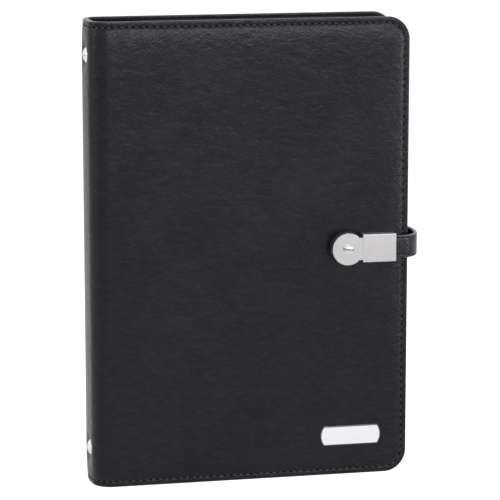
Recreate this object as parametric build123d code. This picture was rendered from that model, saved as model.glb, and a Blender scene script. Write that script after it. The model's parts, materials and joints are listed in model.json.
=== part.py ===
from build123d import *
from math import asin, cos, degrees, radians, sqrt
import os

os.makedirs("parts", exist_ok=True)

# Closed organiser, standing on its lower edge with the front cover towards -Y
cover_height = 235.0
cover_width = 162.0
closed_thickness = 34.0
cover_corner_radius = 11.5
spine_corner_radius = 9.0

# Cover build-up from the outside in
leather_thickness = 1.1
board_thickness = 1.5
lining_thickness = 0.6
turned_edge = 1.2
lining_inset = 1.0
edge_rounding = 0.8

# Spine rivets
rivet_end_distance = 4.0
rivet_head_diameter = 7.7
rivet_head_height = 1.6
rivet_shank_diameter = 4.0
rivet_inner_head_diameter = 6.4
rivet_inner_head_height = 0.6

# Ring mechanism
ring_radius = 9.0
ring_wire_diameter = 2.2
ring_foot_offset = 3.0
ring_end_gap = 0.1
ring_offsets = (-73.0, -54.0, -35.0, 35.0, 54.0, 73.0)
housing_length = 208.0
housing_half_width = 7.8
housing_height = 5.0
housing_wall = 0.8
housing_slot_half_length = 5.6
housing_slot_width = 3.8
rail_end_distance = 9.0
rail_thickness = 0.6
rail_bead_radius = 0.5
rail_pivot_offset = 5.4
rail_pivot_height = 0.8
rail_centre_gap = 0.5
lever_pin_diameter = 1.6
lever_pin_height = 2.0
lever_pin_overhang = 2.0
lever_pin_clearance = 0.15
lever_width = 9.0
lever_thickness = 1.0
lever_length = 7.5
lever_rise_angle = 28.0
lever_ear_thickness = 0.8
lever_ear_radius = 1.5
lever_ear_gap = 0.3

# Paper refill
refill_edge_inset = 6.05
refill_height = 210.0
pages_thickness = 6.0
refill_sheet_thickness = 0.5
refill_hole_diameter = 6.0
refill_hole_margin = 6.5
refill_hole_shift = 0.45
refill_corner_radius = 4.0

# Pockets sewn inside the covers
pocket_start = 26.0
back_pocket_thickness = 0.7
back_pocket_edge_gap = 22.0
back_pocket_end_gap = 2.0
pocket_row_gap = 10.0
document_pocket_thickness = 0.9
pocket_border = 4.0
pocket_corner_radius = 6.0
card_pocket_width = 100.0
card_pocket_top_gap = 23.0
card_pocket_height = 62.0
card_pocket_step = 15.0
card_pocket_thickness = 0.7
card_pocket_count = 3

# Power bank on the inside of the back cover
bank_width = 78.0
bank_height = 145.0
bank_centre_x = 13.0
bank_base_height = 45.0
bank_refill_gap = 0.8
bank_wall = 1.2
bank_corner_radius = 8.0
bank_edge_rounding = 1.0
bank_pad_thickness = 0.4
bank_pad_inset = 5.0
cell_width = 64.0
cell_height = 104.0
cell_thickness = 5.2
cell_base_gap = 4.0
cell_corner_radius = 2.0
circuit_height = 26.0
circuit_thickness = 1.0
circuit_side_gap = 4.0
circuit_top_gap = 1.0
socket_width = 13.2
socket_depth = 13.0
socket_thickness = 5.8
socket_wall = 0.35
socket_spacing = 21.0
socket_shift = -10.0
socket_clearance = 0.1
tongue_width = 11.1
tongue_thickness = 1.8
tongue_recess = 1.5
charge_socket_width = 7.6
charge_socket_thickness = 2.8
charge_socket_depth = 5.6
charge_socket_position = 24.0
button_diameter = 7.0
button_flange_diameter = 9.0
button_flange_thickness = 0.6
button_proud = 0.3
button_travel = 0.6
button_clearance = 0.2
button_top_distance = 20.0
light_diameter = 2.0
light_count = 4
light_spacing = 5.0
light_distance = 10.0

# Closing strap
strap_width = 11.5
strap_thickness = 1.9
strap_gap = 3.0
strap_tip_radius = 6.5
strap_root_radius = 5.0
strap_tail_length = 42.0
strap_insert_length = 5.0

# Clasp: a sleeve on the strap and the memory stick that plugs into it
clasp_height = 118.7
sleeve_length = 17.2
sleeve_width = 14.3
sleeve_thickness = 5.8
sleeve_edge_gap = 8.1
sleeve_cover_gap = 0.4
sleeve_edge_rounding = 0.4
plug_width = 12.0
plug_thickness = 4.5
plug_length = 11.5
plug_wall = 0.35
plug_tongue_thickness = 1.9
plug_tongue_recess = 0.8
plug_clearance = 0.25
disc_diameter = 16.2
disc_plate_thickness = 0.8
disc_chord = 5.4
disc_body_margin = 0.5
disc_neck_length = 2.4
disc_neck_width = 11.4
disc_seam = 0.15
screw_head_diameter = 5.5
screw_head_height = 1.2
screw_shank_diameter = 2.4
screw_shank_length = 3.0
screw_slot_width = 0.8
screw_slot_depth = 0.6
screw_slot_angle = 4.0
magnet_diameter = 9.0
magnet_thickness = 1.2
snap_base_diameter = 14.0
snap_base_thickness = 0.9
snap_base_rounding = 0.4
snap_stub_diameter = 5.0
snap_gap = 0.1

# Blank name plate
plate_width = 32.0
plate_height = 10.4
plate_bow = 1.8
plate_thickness = 0.9
plate_chamfer = 0.5
plate_edge_gap = 13.9
plate_centre_height = 20.8
plate_prong_diameter = 1.2
plate_prong_spacing = 20.0

# Derived planes of the closed organiser. The ring centre is as far from the spine as from the back
# cover, so the refill keeps its distance from the back cover when the spine folds.
x_spine = -cover_width / 2
x_edge = cover_width / 2
y_front = -closed_thickness / 2
y_back = closed_thickness / 2
z_middle = cover_height / 2
shell_thickness = leather_thickness + board_thickness
cover_thickness = shell_thickness + lining_thickness
x_flat = x_spine + spine_corner_radius
y_flat = closed_thickness / 2 - spine_corner_radius
x_spine_inside = x_spine + cover_thickness
y_front_inside = y_front + cover_thickness
y_back_inside = y_back - cover_thickness
ring_x = x_spine_inside + y_back_inside
clasp_y = y_front - sleeve_cover_gap - sleeve_thickness / 2
sleeve_right = x_edge - sleeve_edge_gap
sleeve_left = sleeve_right - sleeve_length
disc_x = sleeve_left - disc_neck_length - disc_chord
strap_x = x_edge + strap_gap + strap_thickness / 2
strap_back_y = y_back + strap_thickness / 2
refill_half_thickness = pages_thickness / 2 + refill_sheet_thickness


def slab(sketch, y_start, y_end):
    """Solid between two Y planes from a sketch drawn in X and Z."""
    return extrude(Plane.XZ.offset(-y_start) * sketch, amount=y_end - y_start, dir=(0, 1, 0))


def prism(sketch, z_start, z_end):
    """Solid between two Z planes from a sketch drawn in X and Y."""
    return Pos(0, 0, z_start) * extrude(sketch, amount=z_end - z_start)


def rod(x_start, x_end, y, z, diameter):
    """Round bar along X."""
    return Pos((x_start + x_end) / 2, y, z) * Rot(0, 90, 0) * Cylinder(diameter / 2, x_end - x_start)


def stud(x, z, y_start, y_end, diameter):
    """Round bar along Y."""
    return slab(Pos(x, z) * Circle(diameter / 2), y_start, y_end)


def block(x_start, x_end, y_start, y_end, z_start, z_end):
    """Box given by its limits."""
    centre = Pos((x_start + x_end) / 2, (y_start + y_end) / 2, (z_start + z_end) / 2)
    return centre * Box(x_end - x_start, y_end - y_start, z_end - z_start)


def rectangle(x_start, x_end, z_start, z_end, radius=0.0):
    """Rectangle given by its limits, with all corners rounded if a radius is given."""
    centre = Pos((x_start + x_end) / 2, (z_start + z_end) / 2)
    if radius > 0:
        return centre * RectangleRounded(x_end - x_start, z_end - z_start, radius)
    return centre * Rectangle(x_end - x_start, z_end - z_start)


def fore_edge_outline(x_start, margin, radius):
    """Cover outline that is square towards the spine and rounded at the fore edge."""
    sketch = rectangle(x_start, x_edge - margin, margin, cover_height - margin)
    return fillet(sketch.vertices().group_by(Axis.X)[-1], radius)


def dome(diameter, height):
    """Cap of a sphere standing on the XY plane."""
    radius = (diameter ** 2 / 4 + height ** 2) / (2 * height)
    ball = Pos(0, 0, height - radius) * Sphere(radius)
    return ball & Pos(0, 0, height / 2) * Cylinder(diameter, height)


def group(solids):
    """Several separate solids as one compound."""
    return Compound(children=[solid for item in solids for solid in item.solids()])


def cover(outer_y, inward):
    """Leather tray, board and lining of a flat cover; inward is +1 or -1 along Y."""
    leather_floor = outer_y + inward * leather_thickness
    board_top = outer_y + inward * shell_thickness
    lining_top = outer_y + inward * cover_thickness
    outline = fore_edge_outline(x_flat, 0, cover_corner_radius)
    leather = slab(outline, min(outer_y, board_top), max(outer_y, board_top))
    rim = leather.faces().sort_by(Axis.Y)[0 if inward > 0 else -1].edges()
    open_side = rim.sort_by(Axis.X)[0]
    leather = fillet(rim.filter_by(lambda edge: not edge.is_same(open_side)), edge_rounding)
    inner_radius = cover_corner_radius - turned_edge
    board_outline = fore_edge_outline(x_flat, turned_edge, inner_radius)
    board = slab(board_outline, min(leather_floor, board_top), max(leather_floor, board_top))
    leather = leather - board
    lining_outline = fore_edge_outline(x_flat, lining_inset, cover_corner_radius - lining_inset)
    lining = slab(lining_outline, min(board_top, lining_top), max(board_top, lining_top))
    return leather, board, lining


def fold(side, outer_radius, inner_radius, z_start, z_end):
    """Quarter of a tube at a spine corner; side is -1 at the front and +1 at the back."""
    tube = Circle(outer_radius) - Circle(inner_radius)
    quarter = rectangle(-outer_radius, 0, 0, outer_radius)
    if side < 0:
        quarter = rectangle(-outer_radius, 0, -outer_radius, 0)
    return prism(Pos(x_flat, side * y_flat) * (tube & quarter), z_start, z_end)


# Covers
front_leather, front_board, front_lining = cover(y_front, 1)
back_leather, back_board, back_lining = cover(y_back, -1)

snap_stub = stud(disc_x, clasp_height, y_front, y_front + shell_thickness, snap_stub_diameter)
plate_x = x_edge - plate_edge_gap - plate_width / 2
prong_places = [plate_x - plate_prong_spacing / 2, plate_x + plate_prong_spacing / 2]
prongs = [
    stud(x, plate_centre_height, y_front, y_front + leather_thickness, plate_prong_diameter)
    for x in prong_places
]
front_leather = front_leather - snap_stub - prongs
front_board = front_board - snap_stub

# Spine
spine_leather = block(x_spine, x_spine + shell_thickness, -y_flat, y_flat, 0, cover_height)
spine_board = block(
    x_spine + leather_thickness,
    x_spine + shell_thickness,
    -y_flat,
    y_flat,
    turned_edge,
    cover_height - turned_edge,
)
spine_leather = spine_leather - spine_board
spine_lining = block(
    x_spine + shell_thickness,
    x_spine_inside,
    -y_flat,
    y_flat,
    lining_inset,
    cover_height - lining_inset,
)

# Folds between the spine and the covers
shell_inner_radius = spine_corner_radius - shell_thickness
lining_inner_radius = spine_corner_radius - cover_thickness
lining_top = cover_height - lining_inset
front_fold_leather = fold(-1, spine_corner_radius, shell_inner_radius, 0, cover_height)
front_fold_lining = fold(-1, shell_inner_radius, lining_inner_radius, lining_inset, lining_top)
back_fold_leather = fold(1, spine_corner_radius, shell_inner_radius, 0, cover_height)
back_fold_lining = fold(1, shell_inner_radius, lining_inner_radius, lining_inset, lining_top)

# Ring housing: an arched channel on the spine with a slot for every ring
housing_radius = (housing_half_width ** 2 + housing_height ** 2) / (2 * housing_height)
housing_centre_x = x_spine_inside + housing_height - housing_radius
housing_top_x = x_spine_inside + housing_height
arch = Pos(housing_centre_x, 0) * (Circle(housing_radius) - Circle(housing_radius - housing_wall))
arch = arch & Pos(x_spine_inside + housing_height, 0) * Rectangle(
    2 * housing_height, 2 * housing_half_width + 1
)
housing_bottom = z_middle - housing_length / 2
housing_top = z_middle + housing_length / 2
ring_housing = prism(arch, housing_bottom, housing_top)
for offset in ring_offsets:
    ring_housing = ring_housing - block(
        x_spine_inside,
        housing_top_x + housing_wall,
        -housing_slot_half_length,
        housing_slot_half_length,
        z_middle + offset - housing_slot_width / 2,
        z_middle + offset + housing_slot_width / 2,
    )

# Lever ears on both ends of the housing
lever_x = x_spine_inside + lever_pin_height
ear_inner_y = lever_width / 2 + lever_ear_gap
ear_outer_y = ear_inner_y + lever_ear_thickness
ear_hole_diameter = lever_pin_diameter + 2 * lever_pin_clearance


def lever_pin_place(end):
    """Height of the lever pin; end is +1 at the top and -1 at the bottom."""
    return z_middle + end * (housing_length / 2 + lever_pin_overhang)


for end in (-1, 1):
    pin_z = lever_pin_place(end)
    housing_end = z_middle + end * housing_length / 2
    for side in (-1, 1):
        y_low = min(side * ear_inner_y, side * ear_outer_y)
        y_high = max(side * ear_inner_y, side * ear_outer_y)
        arm = block(
            x_spine_inside,
            lever_x + lever_ear_radius,
            y_low,
            y_high,
            min(pin_z, housing_end - end * lever_pin_overhang),
            max(pin_z, housing_end - end * lever_pin_overhang),
        )
        tip = stud(lever_x, pin_z, y_low, y_high, 2 * lever_ear_radius)
        tip = tip & block(
            x_spine_inside,
            lever_x + lever_ear_radius,
            y_low,
            y_high,
            pin_z - lever_ear_radius,
            pin_z + lever_ear_radius,
        )
        ear = arm + tip - stud(lever_x, pin_z, y_low, y_high, ear_hole_diameter)
        cavity = prism(
            Pos(housing_centre_x, 0) * Circle(housing_radius), housing_bottom, housing_top
        )
        beyond = block(
            x_spine_inside,
            lever_x + lever_ear_radius,
            y_low,
            y_high,
            min(housing_end, pin_z + end * lever_ear_radius),
            max(housing_end, pin_z + end * lever_ear_radius),
        )
        ring_housing = ring_housing + (ear & cavity) + (ear & beyond)

# Rivets through the spine and the housing
rivet_places = [housing_bottom + rivet_end_distance, housing_top - rivet_end_distance]
rivet_holes = [
    rod(x_spine, housing_top_x, 0, z, rivet_shank_diameter) for z in rivet_places
]
ring_housing = ring_housing - rivet_holes
spine_leather = spine_leather - rivet_holes
spine_board = spine_board - rivet_holes
spine_lining = spine_lining - rivet_holes
housing_sagitta = housing_radius - sqrt(
    housing_radius ** 2 - rivet_inner_head_diameter ** 2 / 4
)
rivets = []
for z in rivet_places:
    outer_head = Pos(x_spine, 0, z) * Rot(0, -90, 0) * dome(rivet_head_diameter, rivet_head_height)
    shank = rod(x_spine, housing_top_x, 0, z, rivet_shank_diameter)
    inner_head = rod(
        housing_top_x - housing_sagitta,
        housing_top_x + rivet_inner_head_height,
        0,
        z,
        rivet_inner_head_diameter,
    )
    inner_head = inner_head - prism(
        Pos(housing_centre_x, 0) * Circle(housing_radius), housing_bottom, housing_top
    )
    rivets.append(outer_head + shank + inner_head)
spine_rivets = group(rivets)

# Ring halves with their carrying rails
rail_x = x_spine_inside + rail_pivot_height
rail_bottom = housing_bottom + rail_end_distance
rail_top = housing_top - rail_end_distance
wire_radius = ring_wire_diameter / 2
foot_angle = degrees(asin(ring_foot_offset / ring_radius))
end_angle = degrees(ring_end_gap / 2 / ring_radius)
foot_x = ring_x - ring_radius * cos(radians(foot_angle))


def ring_rail(side):
    """Carrying rail with its pivot bead; side is -1 at the front and +1 at the back."""
    bead = Pos(rail_x, side * rail_pivot_offset) * Circle(rail_bead_radius)
    plate_centre = side * (rail_pivot_offset + rail_centre_gap / 2) / 2
    plate = Pos(rail_x, plate_centre) * Rectangle(
        rail_thickness, rail_pivot_offset - rail_centre_gap / 2
    )
    return prism(bead + plate, rail_bottom, rail_top)


def ring_rods(side):
    """Six half rings standing on the rail; side is -1 at the front and +1 at the back."""
    rods = []
    for offset in ring_offsets:
        z = z_middle + offset
        section = Plane(origin=(ring_x, 0, z), x_dir=(1, 0, 0), z_dir=(0, -1, 0))
        wire = section * Pos(ring_radius, 0) * Circle(wire_radius)
        axis = Axis((ring_x, 0, z), (0, 0, side))
        sweep_angle = 180 - foot_angle - end_angle
        half = revolve(wire, axis, revolution_arc=sweep_angle)
        half = half.rotate(axis, end_angle)
        foot = rod(rail_x + rail_thickness / 2, foot_x, side * ring_foot_offset, z, ring_wire_diameter)
        joint = Pos(foot_x, side * ring_foot_offset, z) * Sphere(wire_radius)
        rods.append(half + foot + joint)
    return group(rods)


ring_rail_front = ring_rail(-1)
ring_rail_back = ring_rail(1)
ring_rods_front = ring_rods(-1)
ring_rods_back = ring_rods(1)


def ring_lever(end):
    """Opening lever on its pin; end is +1 at the top and -1 at the bottom."""
    pin_z = lever_pin_place(end)
    pin_half_length = ear_outer_y - lever_ear_thickness / 4
    pin = stud(lever_x, pin_z, -pin_half_length, pin_half_length, lever_pin_diameter)
    tab = block(
        -lever_thickness / 2,
        lever_thickness / 2,
        -lever_width / 2,
        lever_width / 2,
        0,
        lever_length,
    )
    tab = fillet(tab.edges().filter_by(Axis.X).group_by(Axis.Z)[-1], lever_width / 4)
    tilt = lever_rise_angle if end > 0 else 180 - lever_rise_angle
    return pin + Pos(lever_x, 0, pin_z) * Rot(0, tilt, 0) * tab


ring_lever_top = ring_lever(1)
ring_lever_bottom = ring_lever(-1)

# Paper refill on the rings
hole_x = ring_x + ring_radius + refill_hole_shift
refill_left = hole_x - refill_hole_margin
refill_outline = rectangle(
    refill_left,
    x_edge - refill_edge_inset,
    z_middle - refill_height / 2,
    z_middle + refill_height / 2,
    refill_corner_radius,
)
for offset in ring_offsets:
    refill_outline = refill_outline - Pos(hole_x, z_middle + offset) * Circle(
        refill_hole_diameter / 2
    )
refill_pages = slab(refill_outline, -pages_thickness / 2, pages_thickness / 2)
refill_front_sheet = slab(refill_outline, -refill_half_thickness, -pages_thickness / 2)
refill_back_sheet = slab(refill_outline, pages_thickness / 2, refill_half_thickness)

# Pockets
pocket_x = x_spine + pocket_start
card_pocket_base = cover_height - card_pocket_top_gap - card_pocket_height
back_pocket_front = y_back_inside - back_pocket_thickness
back_pocket = slab(
    rectangle(
        pocket_x,
        x_edge - back_pocket_edge_gap,
        pocket_border,
        cover_height - back_pocket_end_gap,
        pocket_corner_radius,
    ),
    back_pocket_front,
    y_back_inside,
)
document_pocket = slab(
    rectangle(
        pocket_x,
        x_edge - pocket_border,
        pocket_border,
        card_pocket_base - pocket_row_gap,
        pocket_corner_radius,
    ),
    y_front_inside,
    y_front_inside + document_pocket_thickness,
)
card_pockets = []
for layer in range(card_pocket_count):
    card_pockets.append(
        slab(
            rectangle(
                pocket_x,
                pocket_x + card_pocket_width,
                card_pocket_base,
                card_pocket_base + card_pocket_height - layer * card_pocket_step,
            ),
            y_front_inside + layer * card_pocket_thickness,
            y_front_inside + (layer + 1) * card_pocket_thickness,
        )
    )

# Power bank case in two shells
bank_left = bank_centre_x - bank_width / 2
bank_right = bank_centre_x + bank_width / 2
bank_top = bank_base_height + bank_height
bank_back = back_pocket_front - bank_pad_thickness
bank_front = refill_half_thickness + bank_refill_gap
bank_seam = (bank_front + bank_back) / 2
bank_pad = slab(
    rectangle(
        bank_left + bank_pad_inset,
        bank_right - bank_pad_inset,
        bank_base_height + bank_pad_inset,
        bank_top - bank_pad_inset,
    ),
    bank_back,
    back_pocket_front,
)
bank_outline = rectangle(bank_left, bank_right, bank_base_height, bank_top, bank_corner_radius)
bank_inside = slab(
    rectangle(
        bank_left + bank_wall,
        bank_right - bank_wall,
        bank_base_height + bank_wall,
        bank_top - bank_wall,
        bank_corner_radius - bank_wall,
    ),
    bank_front + bank_wall,
    bank_back - bank_wall,
)
bank_case_base = slab(bank_outline, bank_seam, bank_back)
bank_case_base = fillet(bank_case_base.faces().sort_by(Axis.Y)[-1].edges(), bank_edge_rounding)
bank_case_lid = slab(bank_outline, bank_front, bank_seam)
bank_case_lid = fillet(bank_case_lid.faces().sort_by(Axis.Y)[0].edges(), bank_edge_rounding)
bank_case_base = bank_case_base - bank_inside
bank_case_lid = bank_case_lid - bank_inside

# Sockets in the upper end of the case
socket_top = bank_top
socket_places = [
    bank_centre_x + socket_shift - socket_spacing / 2,
    bank_centre_x + socket_shift + socket_spacing / 2,
]
charge_x = bank_centre_x + charge_socket_position


def socket_block(x, width, thickness, depth, margin):
    """Space taken by a socket, seen from the upper end of the case."""
    return block(
        x - width / 2 - margin,
        x + width / 2 + margin,
        bank_seam - thickness / 2 - margin,
        bank_seam + thickness / 2 + margin,
        socket_top - depth,
        socket_top,
    )


socket_shells = []
socket_tongues = []
openings = [
    socket_block(
        charge_x, charge_socket_width, charge_socket_thickness, bank_wall, socket_clearance
    )
]
for x in socket_places:
    shell = socket_block(x, socket_width, socket_thickness, socket_depth, 0)
    hollow = block(
        x - socket_width / 2 + socket_wall,
        x + socket_width / 2 - socket_wall,
        bank_seam - socket_thickness / 2 + socket_wall,
        bank_seam + socket_thickness / 2 - socket_wall,
        socket_top - socket_depth + socket_wall,
        socket_top,
    )
    socket_shells.append(shell - hollow)
    socket_tongues.append(
        block(
            x - tongue_width / 2,
            x + tongue_width / 2,
            bank_seam + socket_thickness / 2 - socket_wall - tongue_thickness,
            bank_seam + socket_thickness / 2 - socket_wall,
            socket_top - socket_depth + socket_wall,
            socket_top - tongue_recess,
        )
    )
    openings.append(socket_block(x, socket_width, socket_thickness, bank_wall, socket_clearance))
usb_sockets = group(socket_shells)
usb_socket_tongues = group(socket_tongues)
charge_shell = socket_block(
    charge_x, charge_socket_width, charge_socket_thickness, charge_socket_depth, 0
)
charge_hollow = block(
    charge_x - charge_socket_width / 2 + socket_wall,
    charge_x + charge_socket_width / 2 - socket_wall,
    bank_seam - charge_socket_thickness / 2 + socket_wall,
    bank_seam + charge_socket_thickness / 2 - socket_wall,
    socket_top - charge_socket_depth + socket_wall,
    socket_top,
)
charge_socket = charge_shell - charge_hollow
bank_case_base = bank_case_base - openings
bank_case_lid = bank_case_lid - openings

# Circuit board and cell inside the case
circuit_top = bank_top - bank_wall - circuit_top_gap
bank_circuit = block(
    bank_left + bank_wall + circuit_side_gap,
    bank_right - bank_wall - circuit_side_gap,
    bank_back - bank_wall - circuit_thickness,
    bank_back - bank_wall,
    circuit_top - circuit_height,
    circuit_top,
)
for x in socket_places:
    bank_circuit = bank_circuit - socket_block(
        x, socket_width, socket_thickness, socket_depth, socket_clearance
    )
cell_bottom = bank_base_height + bank_wall + cell_base_gap
bank_cell = slab(
    rectangle(
        bank_centre_x - cell_width / 2,
        bank_centre_x + cell_width / 2,
        cell_bottom,
        cell_bottom + cell_height,
        cell_corner_radius,
    ),
    bank_back - bank_wall - cell_thickness,
    bank_back - bank_wall,
)

# Button and lights on the face of the case
button_x = charge_x
button_z = bank_top - button_top_distance
button_top = bank_front - button_proud
flange_y = bank_front + bank_wall + button_clearance
bank_button = stud(button_x, button_z, button_top, flange_y, button_diameter)
bank_button = bank_button + stud(
    button_x,
    button_z,
    flange_y,
    flange_y + button_flange_thickness,
    button_flange_diameter,
)
bank_button = fillet(bank_button.faces().sort_by(Axis.Y)[0].edges(), button_proud / 2)
bank_case_lid = bank_case_lid - stud(
    button_x,
    button_z,
    bank_front,
    bank_front + bank_wall,
    button_diameter + 2 * button_clearance,
)
button_switch = stud(
    button_x,
    button_z,
    flange_y + button_flange_thickness + button_travel,
    bank_back - bank_wall - circuit_thickness,
    button_diameter / 2,
)
lights = []
for index in range(light_count):
    light_z = button_z - light_distance - index * light_spacing
    lights.append(stud(button_x, light_z, bank_front, bank_front + bank_wall, light_diameter))
bank_case_lid = bank_case_lid - lights
charge_lights = group(lights)

# Closing strap from the back cover round the fore edge
strap_bottom = clasp_height - strap_width / 2
strap_top = clasp_height + strap_width / 2
strap_tip_y = clasp_y + strap_tip_radius
strap_root_y = strap_back_y - strap_root_radius


def strap_run(x_start, x_end, y_start, y_end):
    """Flat run of the strap."""
    return block(x_start, x_end, y_start, y_end, strap_bottom, strap_top)


def strap_bend(side, radius, centre_y):
    """Quarter bend of the strap; side is -1 at the front and +1 at the back."""
    tube = Circle(radius + strap_thickness / 2) - Circle(radius - strap_thickness / 2)
    reach = radius + strap_thickness
    quarter = rectangle(0, reach, 0, reach)
    if side < 0:
        quarter = rectangle(0, reach, -reach, 0)
    return prism(Pos(strap_x - radius, centre_y) * (tube & quarter), strap_bottom, strap_top)


strap_tail = strap_run(
    x_edge - strap_tail_length, strap_x - strap_root_radius, y_back, y_back + strap_thickness
)
strap_tail = fillet(
    strap_tail.edges().filter_by(Axis.Y).group_by(Axis.X)[0], strap_width / 4
)
strap_root_bend = strap_bend(1, strap_root_radius, strap_root_y)
strap_middle = strap_run(
    strap_x - strap_thickness / 2, strap_x + strap_thickness / 2, strap_tip_y, strap_root_y
)
strap_tip_bend = strap_bend(-1, strap_tip_radius, strap_tip_y)
strap_end = strap_run(
    sleeve_right - strap_insert_length,
    strap_x - strap_tip_radius,
    clasp_y - strap_thickness / 2,
    clasp_y + strap_thickness / 2,
)

# Sleeve of the clasp
clasp_sleeve = block(
    sleeve_left,
    sleeve_right,
    clasp_y - sleeve_thickness / 2,
    clasp_y + sleeve_thickness / 2,
    clasp_height - sleeve_width / 2,
    clasp_height + sleeve_width / 2,
)
clasp_sleeve = fillet(clasp_sleeve.edges().filter_by(Axis.X), sleeve_edge_rounding)
plug_space = block(
    sleeve_left,
    sleeve_left + plug_length + plug_clearance,
    clasp_y - plug_thickness / 2 - plug_clearance,
    clasp_y + plug_thickness / 2 + plug_clearance,
    clasp_height - plug_width / 2 - plug_clearance,
    clasp_height + plug_width / 2 + plug_clearance,
)
clasp_sleeve = clasp_sleeve - plug_space - strap_end

# Memory stick: black body, face plate, plug, screw and magnet
body_back = y_front - snap_base_thickness - snap_gap
body_front = clasp_y - plug_thickness / 2 - disc_seam
plate_front = body_front - disc_plate_thickness
body_right = sleeve_left - disc_seam


def keyhole(radius, neck_width):
    """Disc cut straight at the chord, with a neck towards the sleeve."""
    disc = Circle(radius) & Pos(disc_chord - radius, 0) * Rectangle(2 * radius, 2 * radius)
    neck_end = body_right - disc_x
    neck = Pos(neck_end / 2, 0) * Rectangle(neck_end, neck_width)
    return Pos(disc_x, clasp_height) * (disc + neck)


usb_body = slab(
    keyhole(disc_diameter / 2 + disc_body_margin, plug_width - 2 * plug_wall),
    body_front,
    body_back,
)
usb_face_plate = slab(keyhole(disc_diameter / 2, disc_neck_width), plate_front, body_front)
usb_magnet = stud(disc_x, clasp_height, body_back - magnet_thickness, body_back, magnet_diameter)
screw_shank = stud(
    disc_x, clasp_height, plate_front, plate_front + screw_shank_length, screw_shank_diameter
)
screw_head = dome(screw_head_diameter, screw_head_height) - Pos(
    0, 0, screw_head_height
) * Rot(0, 0, screw_slot_angle) * Box(
    screw_head_diameter, screw_slot_width, 2 * screw_slot_depth
)
usb_screw = screw_shank + Pos(disc_x, plate_front, clasp_height) * Rot(90, 0, 0) * screw_head
usb_body = usb_body - usb_magnet - screw_shank
usb_face_plate = usb_face_plate - screw_shank
plug_left = body_right
plug_right = sleeve_left + plug_length
plug_outer = block(
    plug_left,
    plug_right,
    clasp_y - plug_thickness / 2,
    clasp_y + plug_thickness / 2,
    clasp_height - plug_width / 2,
    clasp_height + plug_width / 2,
)
plug_inner = block(
    plug_left,
    plug_right,
    clasp_y - plug_thickness / 2 + plug_wall,
    clasp_y + plug_thickness / 2 - plug_wall,
    clasp_height - plug_width / 2 + plug_wall,
    clasp_height + plug_width / 2 - plug_wall,
)
usb_plug_shell = plug_outer - plug_inner
usb_plug_tongue = block(
    plug_left,
    plug_right - plug_tongue_recess,
    clasp_y + plug_thickness / 2 - plug_wall - plug_tongue_thickness,
    clasp_y + plug_thickness / 2 - plug_wall,
    clasp_height - plug_width / 2 + plug_wall,
    clasp_height + plug_width / 2 - plug_wall,
)

# Snap base on the front cover
snap_base = stud(disc_x, clasp_height, y_front - snap_base_thickness, y_front, snap_base_diameter)
snap_base = fillet(snap_base.faces().sort_by(Axis.Y)[0].edges(), snap_base_rounding) + snap_stub

# Name plate with bowed ends
half_width = plate_width / 2
half_height = plate_height / 2
end_x = half_width - plate_bow
plate_sketch = make_face(
    [
        Line((-end_x, half_height), (end_x, half_height)),
        ThreePointArc((end_x, half_height), (half_width, 0), (end_x, -half_height)),
        Line((end_x, -half_height), (-end_x, -half_height)),
        ThreePointArc((-end_x, -half_height), (-half_width, 0), (-end_x, half_height)),
    ]
)
name_plate = slab(
    Pos(plate_x, plate_centre_height) * plate_sketch, y_front - plate_thickness, y_front
)
name_plate = chamfer(name_plate.faces().sort_by(Axis.Y)[0].edges(), plate_chamfer) + prongs

# Origin at the middle of the footprint, on the lower edge
x_low = x_spine - rivet_head_height
x_high = strap_x + strap_thickness / 2
y_low = plate_front - screw_head_height
y_high = y_back + strap_thickness
origin = Pos(-(x_low + x_high) / 2, -(y_low + y_high) / 2, 0)

nodes = {
    "front_leather": front_leather,
    "front_board": front_board,
    "front_lining": front_lining,
    "back_leather": back_leather,
    "back_board": back_board,
    "back_lining": back_lining,
    "spine_leather": spine_leather,
    "spine_board": spine_board,
    "spine_lining": spine_lining,
    "front_fold_leather": front_fold_leather,
    "front_fold_lining": front_fold_lining,
    "back_fold_leather": back_fold_leather,
    "back_fold_lining": back_fold_lining,
    "spine_rivets": spine_rivets,
    "ring_housing": ring_housing,
    "ring_rail_front": ring_rail_front,
    "ring_rail_back": ring_rail_back,
    "ring_rods_front": ring_rods_front,
    "ring_rods_back": ring_rods_back,
    "ring_lever_top": ring_lever_top,
    "ring_lever_bottom": ring_lever_bottom,
    "refill_pages": refill_pages,
    "refill_front_sheet": refill_front_sheet,
    "refill_back_sheet": refill_back_sheet,
    "back_pocket": back_pocket,
    "document_pocket": document_pocket,
    "card_pocket_rear": card_pockets[0],
    "card_pocket_middle": card_pockets[1],
    "card_pocket_front": card_pockets[2],
    "bank_pad": bank_pad,
    "bank_case_base": bank_case_base,
    "bank_case_lid": bank_case_lid,
    "bank_cell": bank_cell,
    "bank_circuit": bank_circuit,
    "bank_switch": button_switch,
    "bank_button": bank_button,
    "charge_lights": charge_lights,
    "usb_sockets": usb_sockets,
    "usb_socket_tongues": usb_socket_tongues,
    "charge_socket": charge_socket,
    "strap_tail": strap_tail,
    "strap_root_bend": strap_root_bend,
    "strap_middle": strap_middle,
    "strap_tip_bend": strap_tip_bend,
    "strap_end": strap_end,
    "clasp_sleeve": clasp_sleeve,
    "usb_body": usb_body,
    "usb_face_plate": usb_face_plate,
    "usb_screw": usb_screw,
    "usb_magnet": usb_magnet,
    "usb_plug_shell": usb_plug_shell,
    "usb_plug_tongue": usb_plug_tongue,
    "snap_base": snap_base,
    "name_plate": name_plate,
}

for name, solid in nodes.items():
    export_step(origin * solid, f"parts/{name}.step")
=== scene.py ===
import bmesh
import bpy
import json
import math
from bisect import bisect_right
from mathutils import Euler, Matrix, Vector, noise


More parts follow.
